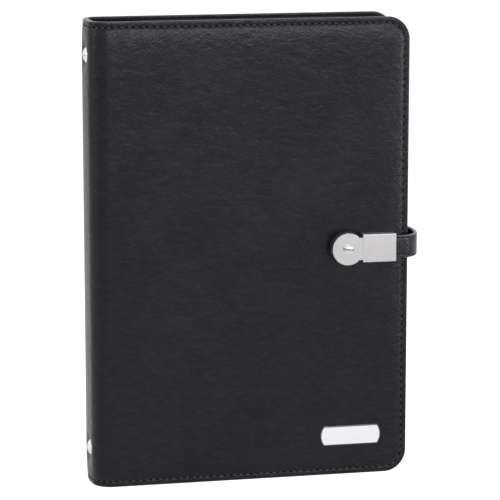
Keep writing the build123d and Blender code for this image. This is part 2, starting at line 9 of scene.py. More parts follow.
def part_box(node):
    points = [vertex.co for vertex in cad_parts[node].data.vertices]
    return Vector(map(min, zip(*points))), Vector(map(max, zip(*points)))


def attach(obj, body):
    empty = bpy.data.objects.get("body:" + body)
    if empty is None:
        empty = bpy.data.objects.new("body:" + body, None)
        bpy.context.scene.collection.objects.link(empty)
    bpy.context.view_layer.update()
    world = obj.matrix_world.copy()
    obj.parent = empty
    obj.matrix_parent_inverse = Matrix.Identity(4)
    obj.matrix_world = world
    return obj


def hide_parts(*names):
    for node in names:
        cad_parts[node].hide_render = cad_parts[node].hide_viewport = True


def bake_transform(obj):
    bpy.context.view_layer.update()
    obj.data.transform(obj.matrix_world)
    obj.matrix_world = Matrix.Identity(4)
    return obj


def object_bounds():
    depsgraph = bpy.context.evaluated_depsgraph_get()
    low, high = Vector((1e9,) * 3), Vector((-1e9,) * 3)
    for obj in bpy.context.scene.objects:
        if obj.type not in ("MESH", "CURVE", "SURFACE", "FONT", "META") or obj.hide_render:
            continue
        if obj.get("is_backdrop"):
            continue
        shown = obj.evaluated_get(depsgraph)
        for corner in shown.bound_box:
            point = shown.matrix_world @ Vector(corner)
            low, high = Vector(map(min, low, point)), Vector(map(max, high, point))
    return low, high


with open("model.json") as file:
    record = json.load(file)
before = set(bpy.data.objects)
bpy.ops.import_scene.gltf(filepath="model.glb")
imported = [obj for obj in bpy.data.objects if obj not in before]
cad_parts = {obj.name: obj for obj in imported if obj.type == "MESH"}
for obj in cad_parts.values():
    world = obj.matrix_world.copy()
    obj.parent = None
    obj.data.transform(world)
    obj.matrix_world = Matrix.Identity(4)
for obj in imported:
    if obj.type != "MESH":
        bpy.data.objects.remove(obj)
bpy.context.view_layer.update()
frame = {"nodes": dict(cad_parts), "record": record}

MM = 0.001

# Planes of the closed organiser, read from the frame
front_low, front_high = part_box("front_leather")
spine_low, spine_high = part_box("spine_leather")
X_SPINE = spine_low.x
X_FLAT = front_low.x
X_EDGE = front_high.x
Y_FRONT = front_low.y
HEIGHT = front_high.z
SPINE_RADIUS = X_FLAT - X_SPINE
SPINE_HALF = (spine_high.y - spine_low.y) / 2
SPINE_Y = (spine_high.y + spine_low.y) / 2
ARC_LENGTH = SPINE_RADIUS * math.pi / 2
SHELL = front_high.y - front_low.y
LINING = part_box("front_lining")[1].y - front_high.y
CORNER_RADIUS = 11.5 * MM

# The strap lies at one height, with this half width
middle_low, middle_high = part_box("strap_middle")
STRAP_Z = (middle_low.z + middle_high.z) / 2
STRAP_HALF = (middle_high.z - middle_low.z) / 2


def smooth(low, high, value):
    """Smooth step from 0 at low to 1 at high."""
    t = min(max((value - low) / (high - low), 0.0), 1.0)
    return t * t * (3 - 2 * t)


def steps(low, high, count):
    """Places from low to high, count equal steps apart."""
    return [low + (high - low) * i / count for i in range(count + 1)]


def even(low, high, step):
    """Even places from low to high, about step apart."""
    return steps(low, high, max(1, round((high - low) / step)))


def circle(sides):
    """Points of a circle of radius 1."""
    return [(math.cos(a), math.sin(a)) for a in steps(0, 2 * math.pi, sides)[:-1]]


def add_object(name, data):
    """New object in the scene."""
    thing = bpy.data.objects.new(name, data)
    bpy.context.scene.collection.objects.link(thing)
    return thing


# ---- materials

# Texture scales of the leather, per metre
LEATHER_BLOTCHES = 38
LEATHER_CREASES = 150
LEATHER_CLOUDS = 440
LEATHER_GRAINS = 1150
LEATHER_PORES = 2600
CLOUD_STRETCH = (0.42, 1, 1)
LEATHER_TINT = (0.93, 0.94, 1.0, 1)
WEAVE_SCALE = 250
PAPER_LAYERS = 2600
PAPER_RULES = 500 / 7
RULE_COLOUR = (0.3, 0.36, 0.45, 1)
# Colour sockets of the mix node
MIX_FIRST, MIX_SECOND, MIX_RESULT = 6, 7, 2
# Places of the dark and the light tone on a noise
STOPS = (0.3, 0.7)


class Nodes:
    """Node tree of a material or of the world, with short calls for the nodes used here."""

    def __init__(self, owner, shader):
        owner.use_nodes = True
        self.tree = owner.node_tree
        self.shader = self.tree.nodes[shader]

    def feed(self, node, inputs):
        """Sets each input to its value, or links it where the value is another node's output."""
        for key, value in inputs.items():
            if isinstance(value, bpy.types.NodeSocket):
                self.tree.links.new(value, node.inputs[key])
            else:
                node.inputs[key].default_value = value

    def node(self, kind, output, inputs, **values):
        """Output of a new node, from its inputs and its own values."""
        node = self.tree.nodes.new(kind)
        for key, value in values.items():
            setattr(node, key, value)
        self.feed(node, inputs)
        return node.outputs[output]

    def math(self, operation, *values):
        return self.node("ShaderNodeMath", "Value", dict(enumerate(values)), operation=operation)

    def weighted(self, *parts):
        """Sum of (value, share) pairs."""
        total = None
        for value, share in parts:
            part = self.math("MULTIPLY", value, share)
            total = self.math("ADD", total, part) if total else part
        return total


class Material(Nodes):
    """Principled material with its textures in object coordinates, which are the frame's metres."""

    def __init__(self, name):
        self.material = bpy.data.materials.new(name)
        super().__init__(self.material, "Principled BSDF")
        self.place = self.node("ShaderNodeTexCoord", "Object", {})

    def noise(self, scale, detail=3.0, roughness=0.5, stretch=None):
        place = self.place
        if stretch:
            place = self.node("ShaderNodeMapping", "Vector", {"Vector": place, "Scale": stretch})
        inputs = {"Vector": place, "Scale": scale, "Detail": detail, "Roughness": roughness}
        return self.node("ShaderNodeTexNoise", "Fac", inputs)

    def cells(self, scale, feature="F1"):
        inputs = {"Vector": self.place, "Scale": scale}
        return self.node("ShaderNodeTexVoronoi", "Distance", inputs, feature=feature)

    def waves(self, scale, direction, distortion=0.0):
        inputs = {"Vector": self.place, "Scale": scale, "Distortion": distortion}
        return self.node("ShaderNodeTexWave", "Fac", inputs, bands_direction=direction)

    def remap(self, value, source, result):
        """Value mapped from one (low, high) range to another."""
        inputs = dict(enumerate((value, *source, *result)))
        return self.node("ShaderNodeMapRange", "Result", inputs)

    def ramp(self, value, stops, colours):
        fac = self.node("ShaderNodeValToRGB", "Color", {"Fac": value})
        elements = fac.node.color_ramp.elements
        while len(elements) < len(colours):
            elements.new(0.5)
        for element, position, colour in zip(elements, stops, colours):
            element.position = position
            element.color = (*colour, 1)
        return fac

    def finish(self, colour, wear, rough, *bumps, wear_range=(0.3, 0.7), **inputs):
        """Finished material. wear picks from the rough range, bumps are (height, strength,
        distance) layers, and other inputs have _ for each space in their name."""
        normal = {}
        for height, strength, distance in bumps:
            layer = {"Strength": strength, "Distance": distance, "Height": height, **normal}
            normal = {"Normal": self.node("ShaderNodeBump", "Normal", layer)}
        self.feed(self.shader, {"Base Color": colour, **normal,
                                "Roughness": self.remap(wear, wear_range, rough)})
        self.feed(self.shader, {key.replace("_", " "): value for key, value in inputs.items()})
        return self.material


def leather_material(name, colours, rough, specular, grain, edge_highlight=None):
    """Grained leather. With edge_highlight = (middle height, start, end) it pales from start to end,
    counted from the middle, to a third colour: a painted highlight along the top and bottom edges."""
    m = Material(name)
    broad = m.noise(LEATHER_BLOTCHES, 4, 0.55)
    creases = m.noise(LEATHER_CREASES, 4, 0.55)
    clouds = m.noise(LEATHER_CLOUDS, 3, 0.6, CLOUD_STRETCH)
    grains = m.cells(LEATHER_GRAINS * grain)
    pores = m.noise(LEATHER_PORES * grain, 3, 0.6)
    shade = m.weighted((broad, 0.3), (clouds, 0.5), (pores, 0.2))
    # paler within a set distance of the top and bottom edges: a painted highlight
    if edge_highlight:
        height = m.node("ShaderNodeSeparateXYZ", "Z", {"Vector": m.place})
        away = m.math("ABSOLUTE", m.math("SUBTRACT", height, edge_highlight[0]))
        shade = m.math("ADD", shade, m.remap(away, edge_highlight[1:], (0.0, 0.4)))
    return m.finish(
        m.ramp(shade, (0.38, 0.62, 1.0), colours), m.weighted((broad, 0.5), (grains, 0.5)), rough,
        (creases, 0.3, 1.2 * MM), (clouds, 0.3, 0.4 * MM), (grains, 0.3, 0.22 * MM),
        (pores, 0.22, 0.1 * MM), wear_range=(0.25, 0.65), Specular_IOR_Level=specular,
        Specular_Tint=LEATHER_TINT)


def metal_material(name, colours, rough, stretch=None, bump=0.12, scale=1500):
    """Metal with fine lines, drawn out where stretch says so, and faint blotches."""
    m = Material(name)
    lines = m.noise(scale, 4, 0.65, stretch)
    tone = m.weighted((lines, 0.55), (m.noise(60, 3), 0.45))
    return m.finish(m.ramp(tone, STOPS, colours), lines, rough, (lines, bump, 0.05 * MM),
                    Metallic=1.0)


def plastic_material(name, colours, rough, texture=900, bump=0.2):
    """Moulded surface with fine pits and a slow unevenness."""
    m = Material(name)
    cloud = m.noise(90, 3)
    return m.finish(m.ramp(cloud, STOPS, colours), m.noise(300, 3), rough,
                    (m.cells(texture), bump, 0.1 * MM), (cloud, 0.08, 0.5 * MM))


def film_material(name, colours, rough, texture, bump, metallic=0.0, specular=0.5):
    """One noise gives colour, roughness and bump, where the bump is (strength, distance)."""
    m = Material(name)
    value = m.noise(*texture)
    return m.finish(m.ramp(value, STOPS, colours), value, rough,
                    *([(value, *bump)] if bump else []), Metallic=metallic,
                    Specular_IOR_Level=specular)


def cloth_material(colours, rough):
    """Plain weave of threads in X and Z."""
    m = Material("lining_cloth")
    weave = m.math("MAXIMUM", m.waves(WEAVE_SCALE, "X", 0.4), m.waves(WEAVE_SCALE, "Z", 0.4))
    cloud = m.noise(120, 4)
    tone = m.weighted((weave, 0.6), (cloud, 0.4))
    return m.finish(m.ramp(tone, (0.25, 0.8), colours), cloud, rough, (weave, 0.5, 0.15 * MM),
                    (m.noise(900, 3), 0.2, 0.1 * MM), Specular_IOR_Level=0.12)


def paper_material(colours, rough):
    """Leaf edges show as fine layers, and the faces carry pale ruled lines."""
    m = Material("paper")
    layers = m.waves(PAPER_LAYERS, "Y", 1.5)
    fibres = m.noise(700, 5, 0.6)
    sheet = m.ramp(m.weighted((layers, 0.35), (fibres, 0.65)), (0.3, 0.75), colours)
    rules = m.remap(m.waves(PAPER_RULES, "Z"), (0.985, 1.0), (0.0, 0.45))
    ruled = m.node("ShaderNodeMix", MIX_RESULT, {
        "Factor": rules, MIX_FIRST: sheet, MIX_SECOND: RULE_COLOUR}, data_type="RGBA")
    return m.finish(ruled, fibres, rough, (layers, 0.5, 0.12 * MM), (fibres, 0.15, 0.05 * MM))


def circuit_material(colours, rough):
    """Green board with darker tracks."""
    m = Material("circuit")
    tracks = m.cells(260, "SMOOTH_F1")
    return m.finish(m.ramp(tracks, (0.2, 0.5), colours), m.noise(400, 3), rough,
                    (tracks, 0.3, 0.2 * MM))


# Dark and light tone, and range of roughness. Leathers go on with the specular level, the scale of
# the grain, and the painted highlight on the edges, which takes a third tone. Metals go on with the
# stretch of their lines, the bump and the scale of the lines, plastics with the scale of their pits
# and the bump, films with their noise, its bump, and the metallic and specular levels.
LEATHERS = {
    # third tone: painted highlight along the cover's top and bottom edges
    "cover_leather": (
        ((0.001, 0.001, 0.0024), (0.0086, 0.0087, 0.0126), (0.045, 0.046, 0.052)), (0.2, 0.31),
        0.26, 1.0, (HEIGHT / 2, HEIGHT / 2 - 0.9 * MM, HEIGHT / 2 - 0.2 * MM)),
    # third tone: painted highlight along the strap's top and bottom edges
    "strap_leather": (
        ((0.0036, 0.0038, 0.0052), (0.017, 0.0175, 0.022), (0.11, 0.112, 0.122)), (0.2, 0.31),
        0.34, 1.0, (STRAP_Z, STRAP_HALF - 0.75 * MM, STRAP_HALF - 0.1 * MM)),
    "pocket_leather": (((0.006, 0.0063, 0.007), (0.012, 0.0125, 0.0135)), (0.45, 0.6), 0.2, 1.3),
}
METALS = {
    "chrome_plate": (((0.8, 0.8, 0.8), (0.92, 0.92, 0.92)), (0.05, 0.14), None, 0.03, 700),
    "nickel_steel": (((0.52, 0.51, 0.49), (0.68, 0.67, 0.65)), (0.2, 0.34), (1, 1, 0.06)),
    "satin_steel": (((0.415, 0.405, 0.41), (0.5, 0.49, 0.495)), (0.34, 0.46), None, 0.16, 2600),
    "screw_steel": (((0.6, 0.6, 0.59), (0.8, 0.8, 0.79)), (0.1, 0.22), None, 0.1, 1800),
    "bright_steel": (((0.7, 0.7, 0.69), (0.82, 0.82, 0.81)), (0.1, 0.22), None, 0.05, 1800),
    # slot_dirt: darker steel painted into the screw's slot as painted shade
    "slot_dirt": (((0.16, 0.155, 0.15), (0.34, 0.335, 0.33)), (0.35, 0.5), None, 0.1, 2400),
    "mirror_plate": (((0.88, 0.9, 0.915), (0.93, 0.94, 0.945)), (0.02, 0.06), (0.1, 1, 1), 0.015,
                     500),
    # plate_rim: dark metal on the plate's rim, painted shade along its edge
    "plate_rim": (((0.1, 0.1, 0.105), (0.15, 0.15, 0.155)), (0.4, 0.55), None, 0.1),
    "magnet": (((0.4, 0.4, 0.41), (0.52, 0.52, 0.53)), (0.25, 0.4)),
    "connector_steel": (((0.58, 0.58, 0.57), (0.72, 0.72, 0.71)), (0.22, 0.36), (0.08, 1, 1)),
}
PLASTICS = {
    "greyboard": (((0.3, 0.29, 0.27), (0.42, 0.41, 0.38)), (0.8, 0.95), 500, 0.4),
    "black_plastic": (((0.008, 0.008, 0.009), (0.018, 0.018, 0.02)), (0.4, 0.55)),
    "connector_plastic": (((0.012, 0.012, 0.013), (0.03, 0.03, 0.03)), (0.4, 0.6)),
    "refill_sheet": (((0.36, 0.375, 0.39), (0.4, 0.415, 0.43)), (0.3, 0.45), 1400, 0.25),
    "bank_plastic": (((0.012, 0.012, 0.013), (0.024, 0.024, 0.026)), (0.38, 0.52), 1500, 0.3),
    "foam_tape": (((0.03, 0.03, 0.03), (0.08, 0.08, 0.08)), (0.85, 0.95), 700, 0.6),
    "switch_plastic": (((0.03, 0.03, 0.03), (0.06, 0.06, 0.06)), (0.4, 0.6)),
    "button_plastic": (((0.14, 0.14, 0.145), (0.2, 0.2, 0.205)), (0.18, 0.3), 1800, 0.1),
    "light_lens": (((0.35, 0.42, 0.5), (0.5, 0.57, 0.64)), (0.08, 0.2), 2000, 0.05),
}
FILMS = {
    "cell_foil": (((0.42, 0.43, 0.44), (0.62, 0.63, 0.64)), (0.22, 0.45), (120, 5, 0.7),
                  (0.35, 0.6 * MM), 1.0),
    "black_thread": (((0.006, 0.0065, 0.008), (0.02, 0.021, 0.024)), (0.34, 0.55), (2200, 2, 0.5),
                     (0.4, 0.08 * MM)),
    # needle_hole: near-black slits that stand in for the shade inside the needle holes
    "needle_hole": (((0.0008, 0.0008, 0.001), (0.003, 0.003, 0.0035)), (0.85, 1.0), (3000, 2),
                    None, 0.0, 0.04),
}
MATERIALS = {
    "lining_cloth": cloth_material(((0.003, 0.0033, 0.004), (0.012, 0.0125, 0.0145)), (0.78, 0.95)),
    "paper": paper_material(((0.62, 0.6, 0.54), (0.8, 0.785, 0.73)), (0.75, 0.92)),
    "circuit": circuit_material(((0.01, 0.06, 0.03), (0.03, 0.2, 0.09)), (0.3, 0.5)),
}
for make, looks in ((leather_material, LEATHERS), (metal_material, METALS),
                    (plastic_material, PLASTICS), (film_material, FILMS)):
    MATERIALS.update((name, make(name, *look)) for name, look in looks.items())


# ---- mesh building

SHARP_ANGLE = math.radians(52)
WELD_DISTANCE = 1e-7


def make_object(name, verts, faces, material, motion, node=None):
    """Closed mesh piece with outward faces, in the row frame, that may stand for a CAD node. motion
    is the body it rides on; when motion holds two bodies and places instead, the piece stays
    unattached where it is. It takes the material named."""
    mesh = bpy.data.meshes.new(name)
    mesh.from_pydata([tuple(v) for v in verts], [], faces)
    mesh.validate()
    bm = bmesh.new()
    bm.from_mesh(mesh)
    bmesh.ops.remove_doubles(bm, verts=bm.verts, dist=WELD_DISTANCE)
    bmesh.ops.recalc_face_normals(bm, faces=bm.faces)
    bm.to_mesh(mesh)
    bm.free()
    mesh.shade_smooth()
    mesh.set_sharp_from_angle(angle=SHARP_ANGLE)
    mesh.materials.append(MATERIALS[material])
    piece = add_object(name, mesh)
    if node:
        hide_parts(node)
    if isinstance(motion, str):
        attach(piece, motion)
    else:
        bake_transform(piece)
    return piece


def loft(name, loops, material, motion, node):
    """Piece through closed loops of points, with a cap on the first and the last."""
    verts = [point for loop in loops for point in loop]
    faces = loft_faces(len(loops), len(loops[0]))
    return make_object(name, verts, faces, material, motion, node)


def repaint(piece, material, polygons):
    """Gives some of a piece's polygons a second material."""
    piece.data.materials.append(MATERIALS[material])
    for polygon in polygons:
        polygon.material_index = 1


def band(a, b, spans=None):
    """Faces between two rows of vertices: all the way round, or only as many as spans."""
    return [(a[i], a[(i + 1) % len(a)], b[(i + 1) % len(a)], b[i]) for i in range(spans or len(a))]


def loft_faces(loops, count, start=0):
    """Faces between closed loops of count vertices each, and a cap on the first and last loop."""
    rows = [range(low, low + count) for low in range(start, start + loops * count, count)]
    faces = [face for a, b in zip(rows, rows[1:]) for face in band(a, b)]
    return faces + [tuple(rows[0]), tuple(rows[-1])]


# ---- worked edge of the leather

STITCH_INSET = 2.9 * MM
WELT_DROP = 0.85 * MM
WELT_HEIGHT = SHELL - WELT_DROP
FIELD_RISE = 0.1 * MM
PADDING_REACH = 4.0 * MM
GROOVE_DEPTH = 0.18 * MM
GROOVE_WIDTH = 0.55 * MM
# Rings of the edge from the inside round to the face: distance from the edge in millimetres, and
# share of the welt's height
EDGE_RINGS = ((1.3, 0.0), (0.8, 0.0), (0.3, 0.02), (0.08, 0.08), (0.0, 0.18), (0.0, 0.66),
              (0.06, 0.79), (0.2, 0.89), (0.5, 0.97), (1.0, 0.99))
# Distances of the rings on the face, in millimetres
FACE_RINGS = (1.5, 2.0, 2.3, 2.6, 2.9, 3.2, 3.5, 3.9, 4.6, 5.6)


def face_height(d):
    """Height of the outer face at distance d from the edge: welt, stitched groove, padded field."""
    padding = 1 - math.exp(-max(d - STITCH_INSET, 0.0) / PADDING_REACH)
    groove = GROOVE_DEPTH * math.exp(-((d - STITCH_INSET) / GROOVE_WIDTH) ** 2)
    return WELT_HEIGHT + (WELT_DROP + FIELD_RISE) * padding - groove


PROFILE = [(d * MM, share * WELT_HEIGHT) for d, share in EDGE_RINGS]
PROFILE += [(d * MM, face_height(d * MM)) for d in FACE_RINGS]
FACE_START = len(EDGE_RINGS)


# ---- flat panels with a worked edge

COVER_STEP = 1.1 * MM
COVER_COARSE = 4
COARSE_BORDER = 2.4 * MM


class Panel:
    """Upright rounded slab in X and Z, whose face looks along Y to the side of direction, from
    base. The left side is open, square and not inset for a cover that goes on into a fold. Every
    coarse-th point of its outline goes on into the field. Lengths are counted at the inset
    seam."""

    def __init__(self, x0, x1, z0, z1, base, direction, radius, open_left, step, coarse, seam):
        self.x0, self.x1, self.z0, self.z1 = x0, x1, z0, z1
        self.base, self.direction = base, direction
        self.radius = radius
        self.open_left = open_left
        self.coarse = coarse

        def points_on(length):
            return coarse * max(1, round(length / (step * coarse)))

        self.n_x = points_on(x1 - x0 - radius)
        self.n_z = points_on(z1 - z0 - 2 * radius)
        self.n_arc = 2 * points_on(radius * math.pi / 4)
        points = self.outline(seam)
        self.lengths = [0.0]
        for a, b in zip(points, points[1:]):
            self.lengths.append(self.lengths[-1] + math.dist(a, b))

    def outline(self, d):
        """Points of the outline inset by d, clockwise from the upper left."""
        r = self.radius * math.exp(-d / self.radius)
        left = 0.0 if self.open_left else r
        x0 = self.x0 if self.open_left else self.x0 + d
        x1, z0, z1 = self.x1 - d, self.z0 + d, self.z1 - d
        points = []

        def line(a, b, count):
            for t in steps(0, 1, count)[:-1]:
                points.append((a[0] + (b[0] - a[0]) * t, a[1] + (b[1] - a[1]) * t))

        def arc(cx, cz, start, end, count):
            for a in map(math.radians, steps(start, end, count)[:-1]):
                points.append((cx + r * math.cos(a), cz + r * math.sin(a)))

        if not self.open_left:
            arc(x0 + r, z1 - r, 135, 90, self.n_arc // 2)
        line((x0 + left, z1), (x1 - r, z1), self.n_x)
        arc(x1 - r, z1 - r, 90, 0, self.n_arc)
        line((x1, z1 - r), (x1, z0 + r), self.n_z)
        arc(x1 - r, z0 + r, 0, -90, self.n_arc)
        line((x1 - r, z0), (x0 + left, z0), self.n_x)
        if self.open_left:
            points.append((x0, z0))
        else:
            arc(x0 + r, z0 + r, -90, -180, self.n_arc)
            line((x0, z0 + r), (x0, z1 - r), self.n_z)
            arc(x0 + r, z1 - r, 180, 135, self.n_arc // 2)
        return points

    def at(self, along, d):
        """Place at a length along the seam, inset by d."""
        points = self.outline(d)
        low = min(bisect_right(self.lengths, along), len(points) - 1) - 1
        t = (along - self.lengths[low]) / (self.lengths[low + 1] - self.lengths[low])
        a, b = points[low], points[low + 1]
        return a[0] + (b[0] - a[0]) * t, a[1] + (b[1] - a[1]) * t

    def world(self, x, z, h):
        return Vector((x, self.base + self.direction * h, z))

    def edge_distance(self, x, z):
        d = min(self.x1 - x, self.z1 - z, z - self.z0)
        return d if self.open_left else min(d, x - self.x0)

    def build(self, profile, field, lift=None):
        """Vertices and faces of the closed slab. field(x, z, d) gives the height inside the
        profile, and lift(x, z, d) what the profile's face rings gain."""
        verts, faces = [], []

        def vertex(x, z, h):
            verts.append(self.world(x, z, h))
            return len(verts) - 1

        rings = []
        for k, (d, h) in enumerate(profile):
            lifted = lift and k >= FACE_START
            rings.append([vertex(x, z, h + (lift(x, z, d) if lifted else 0.0))
                          for x, z in self.outline(d)])
        count = len(rings[0])
        spans = count - 1 if self.open_left else count
        for a, b in zip(rings, rings[1:]):
            faces += band(a, b, spans)

        # from the last ring to the coarse border of the field
        border, d = rings[-1], profile[-1][0]
        places = self.outline(d)
        if self.coarse > 1:
            d += COARSE_BORDER
            places = self.outline(d)[::self.coarse]
            inner = [vertex(x, z, field(x, z, d)) for x, z in places]
            for c in range(spans // self.coarse):
                fine = [border[(c * self.coarse + i) % count] for i in range(self.coarse + 1)]
                faces.append((inner[c], *fine, inner[(c + 1) % len(inner)]))
            border = inner

        # grid of the field by a Coons patch
        half_arc = self.n_arc // 2 // self.coarse
        across = self.n_x // self.coarse + half_arc * (1 if self.open_left else 2)
        down = self.n_z // self.coarse + 2 * half_arc

        def sides(loop):
            """Top, right, bottom and left of a loop, from left to right or from the top down."""
            return (loop[:across + 1], loop[across:across + down + 1],
                    loop[across + down:2 * across + down + 1][::-1],
                    (loop[2 * across + down:] + loop[:1])[::-1])

        grid = [[None] * (down + 1) for _ in range(across + 1)]
        top, right, bottom, left = sides(border)
        for u in range(across + 1):
            grid[u][0], grid[u][down] = top[u], bottom[u]
        for v in range(down + 1):
            grid[across][v] = right[v]
            if not self.open_left:
                grid[0][v] = left[v]
        top, right, bottom, left = sides(places)
        if self.open_left:
            (x, z_top), (_, z_bottom) = left
            left = [(x, z_top + (z_bottom - z_top) * v / down) for v in range(down + 1)]
        for u in range(across + 1):
            for v in range(down + 1):
                if grid[u][v] is not None:
                    continue
                s, t = u / across, v / down
                x, z = [(1 - t) * top[u][i] + t * bottom[u][i]
                        + ((1 - s) * left[v][i] + s * right[v][i])
                        - (1 - t) * ((1 - s) * top[0][i] + s * top[-1][i])
                        - t * ((1 - s) * bottom[0][i] + s * bottom[-1][i]) for i in (0, 1)]
                grid[u][v] = vertex(x, z, field(x, z, self.edge_distance(x, z)))
        for u in range(across):
            for v in range(down):
                faces.append((grid[u][v], grid[u + 1][v], grid[u + 1][v + 1], grid[u][v + 1]))

        # inner face, and the open side's wall
        faces.append(tuple(rings[0]))
        if self.open_left:
            wall = [ring[0] for ring in rings] + grid[0] + [ring[-1] for ring in reversed(rings)]
            faces.append(tuple(dict.fromkeys(wall)))
        return verts, faces


# ---- thread

STITCH_PITCH = 3.84 * MM
END_STITCH_PITCH = 3.5 * MM
THREAD_RADIUS = 0.26 * MM
THREAD_SLANT = 0.3 * MM
THREAD_BACK_OFF = 0.75 * MM
THREAD_ARCH = 0.1 * MM
THREAD_SINK = 0.25 * MM
THREAD_SQUASH = 0.85
THREAD_END_SHARE = 0.55
# Size of the dark slit painted as the shade inside each needle hole
HOLE_LENGTH = 2.0 * MM
HOLE_WIDTH = 0.9 * MM
HOLE_THICKNESS = 0.24 * MM
HOLE_SLANT = math.radians(24)
HOLE_END_SHARE = 0.96
TUBE_SIDES = 8
TUBE_STEPS = 6


class ThreadRun:
    """Collects stitches, and the dark slits painted as shade inside their needle holes, into one
    mesh.
    """

    def __init__(self, radius=THREAD_RADIUS):
        self.radius = radius
        self.verts, self.faces, self.hole_shade_faces = [], [], []

    def tube(self, centres, across, outward, sizes, squash, faces):
        """Closed tube along the centres, flattened outwards by squash."""
        faces += loft_faces(len(centres), TUBE_SIDES, len(self.verts))
        for centre, size in zip(centres, sizes):
            self.verts += [centre + across * (a * size) + outward * (b * size * squash)
                           for a, b in circle(TUBE_SIDES)]

    def stitch(self, start, end, outward, arch=THREAD_ARCH, sink=THREAD_SINK):
        """One stitch that comes up at start and goes down at end."""
        start, end, outward = Vector(start), Vector(end), Vector(outward)
        across = (end - start).normalized().cross(outward).normalized()
        centres, sizes = [], []
        for t in steps(0, 1, TUBE_STEPS):
            bulge = math.sin(math.pi * t) ** 0.5
            centres.append(start.lerp(end, t) + outward * (arch * bulge - sink * (1 - bulge)))
            sizes.append(self.radius * (THREAD_END_SHARE + (1 - THREAD_END_SHARE) * bulge))
        self.tube(centres, across, outward, sizes, THREAD_SQUASH, self.faces)

    def hole(self, middle, along, outward, length=HOLE_LENGTH, width=HOLE_WIDTH):
        """Dark slanted slit, painted shade inside the needle's hole, at a place with the seam's
        direction.
        """
        middle, outward = Vector(middle), Vector(outward)
        axis = Vector(along).normalized()
        across = axis.cross(outward).normalized()
        axis = axis * math.cos(HOLE_SLANT) + across * math.sin(HOLE_SLANT)
        across = axis.cross(outward).normalized()
        centres, sizes = [], []
        for t in steps(-HOLE_END_SHARE, HOLE_END_SHARE, TUBE_STEPS):
            centres.append(middle + axis * (t * length / 2))
            sizes.append(width / 2 * math.sqrt(1 - t * t))
        self.tube(centres, across, outward, sizes, HOLE_THICKNESS / width, self.hole_shade_faces)

    def piece(self, name, motion):
        faces = self.faces + self.hole_shade_faces
        piece = make_object(name, self.verts, faces, "black_thread", motion)
        # the slits take the near-black painted shade
        repaint(piece, "needle_hole", piece.data.polygons[len(self.faces):])


# ---- covers

# Slow waves and finer ripples of the leather field, which fade towards the edge and the fold
WAVE_HEIGHT = 0.07 * MM
RIPPLE_HEIGHT = 0.03 * MM
RIPPLE_SCALE = 3.1
WAVES_X, WAVES_Z = 22, 17
WAVE_START, WAVE_FULL = 4 * MM, 9 * MM
FOLD_FADE = 12 * MM
SEAM_ASIDE = 0.1 * MM


def hole_places(panel):
    """Lengths along the seam of all needle holes: a little closer at the ends than on the edge."""
    whole, pitches = panel.lengths[-1], [0.0]
    while sum(pitches) < whole:
        x, _ = panel.at(sum(pitches), STITCH_INSET)
        pitches.append(STITCH_PITCH if x > X_EDGE - CORNER_RADIUS else END_STITCH_PITCH)
    fit = whole / (sum(pitches) - (pitches[1] + pitches[-1]) / 2 + pitches[1])
    places, total = [], pitches[1] / 2
    for pitch in pitches[1:]:
        places.append(total * fit)
        total += pitch
    return [place for place in places if place < whole]


def build_cover(name, node, body, base, direction, seed):
    """Leather of a cover with its stitched edge. direction is -1 for the front, +1 for the back."""
    panel = Panel(X_FLAT, X_EDGE, 0.0, HEIGHT, base, direction, CORNER_RADIUS, True, COVER_STEP,
                  COVER_COARSE, STITCH_INSET)

    def lift(x, z, d):
        place = Vector((x * WAVES_X, z * WAVES_Z, seed))
        wave = WAVE_HEIGHT * noise.noise(place) + RIPPLE_HEIGHT * noise.noise(place * RIPPLE_SCALE)
        return wave * smooth(WAVE_START, WAVE_FULL, d) * smooth(X_FLAT, X_FLAT + FOLD_FADE, x)

    def field(x, z, d):
        return face_height(d) + lift(x, z, d)

    verts, faces = panel.build(PROFILE, field, lift)
    make_object(name, verts, faces, "cover_leather", body, node)

    thread = ThreadRun()
    holes = hole_places(panel)
    outward = (0, direction, 0)
    top = face_height(STITCH_INSET)
    for hole in holes:
        x0, z0 = panel.at(hole - SEAM_ASIDE, STITCH_INSET)
        x1, z1 = panel.at(hole + SEAM_ASIDE, STITCH_INSET)
        middle = panel.world((x0 + x1) / 2, (z0 + z1) / 2, top)
        thread.hole(middle, (x1 - x0, 0, z1 - z0), outward)
    for a, b in zip(holes, holes[1:]):
        ends = []
        for along, side in ((a + THREAD_BACK_OFF, direction), (b - THREAD_BACK_OFF, -direction)):
            x, z = panel.at(along, STITCH_INSET + side * THREAD_SLANT)
            ends.append(panel.world(x, z, top))
        thread.stitch(*ends, outward)
    thread.piece(name + "_stitches", body)


build_cover("front_cover_leather", "front_leather", "front_cover", front_high.y, -1, 3.7)
build_cover("back_cover_leather", "back_leather", "back_cover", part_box("back_leather")[0].y, 1, 8.2)


# ---- spine and folds

FOLD_STITCHES = 4
SPINE_STITCHES = 4
STRIP_STEP = 0.5 * MM
SPINE_FULLNESS = 1.1 * MM
SPINE_FULL_REACH = SPINE_HALF + 0.7 * ARC_LENGTH
END_FULLNESS = 0.7 * MM
END_REACH = 9 * MM
RIVET_RADIUS = 3.85 * MM
DIMPLE_REACH = 3.9 * MM
DIMPLE_FADE = 2.4 * DIMPLE_REACH
DIMPLE_HEIGHT_SHARE = 0.9
CREASE_HEIGHT = 0.05 * MM
CREASES_S, CREASES_Z, CREASE_SEED = 260, 14, 1.3
CREASE_INSET = 2.5 * MM
CREASE_START, CREASE_FULL = 5 * MM, 10 * MM
FIELD_INSET = 7 * MM
RIVET_FIELD = 10 * MM
# Steps of the rows between the borders and the rivets, in millimetres
ROW_STEPS = (1.0, 0.8, 5.0, 0.8, 1.0)
CLOTH_ANGLES = 14
CLOTH_EASE = 0.15 * MM
CLOTH_RIM = 0.2 * MM
CLOTH_END = 8 * MM
CLOTH_ROW = 24 * MM

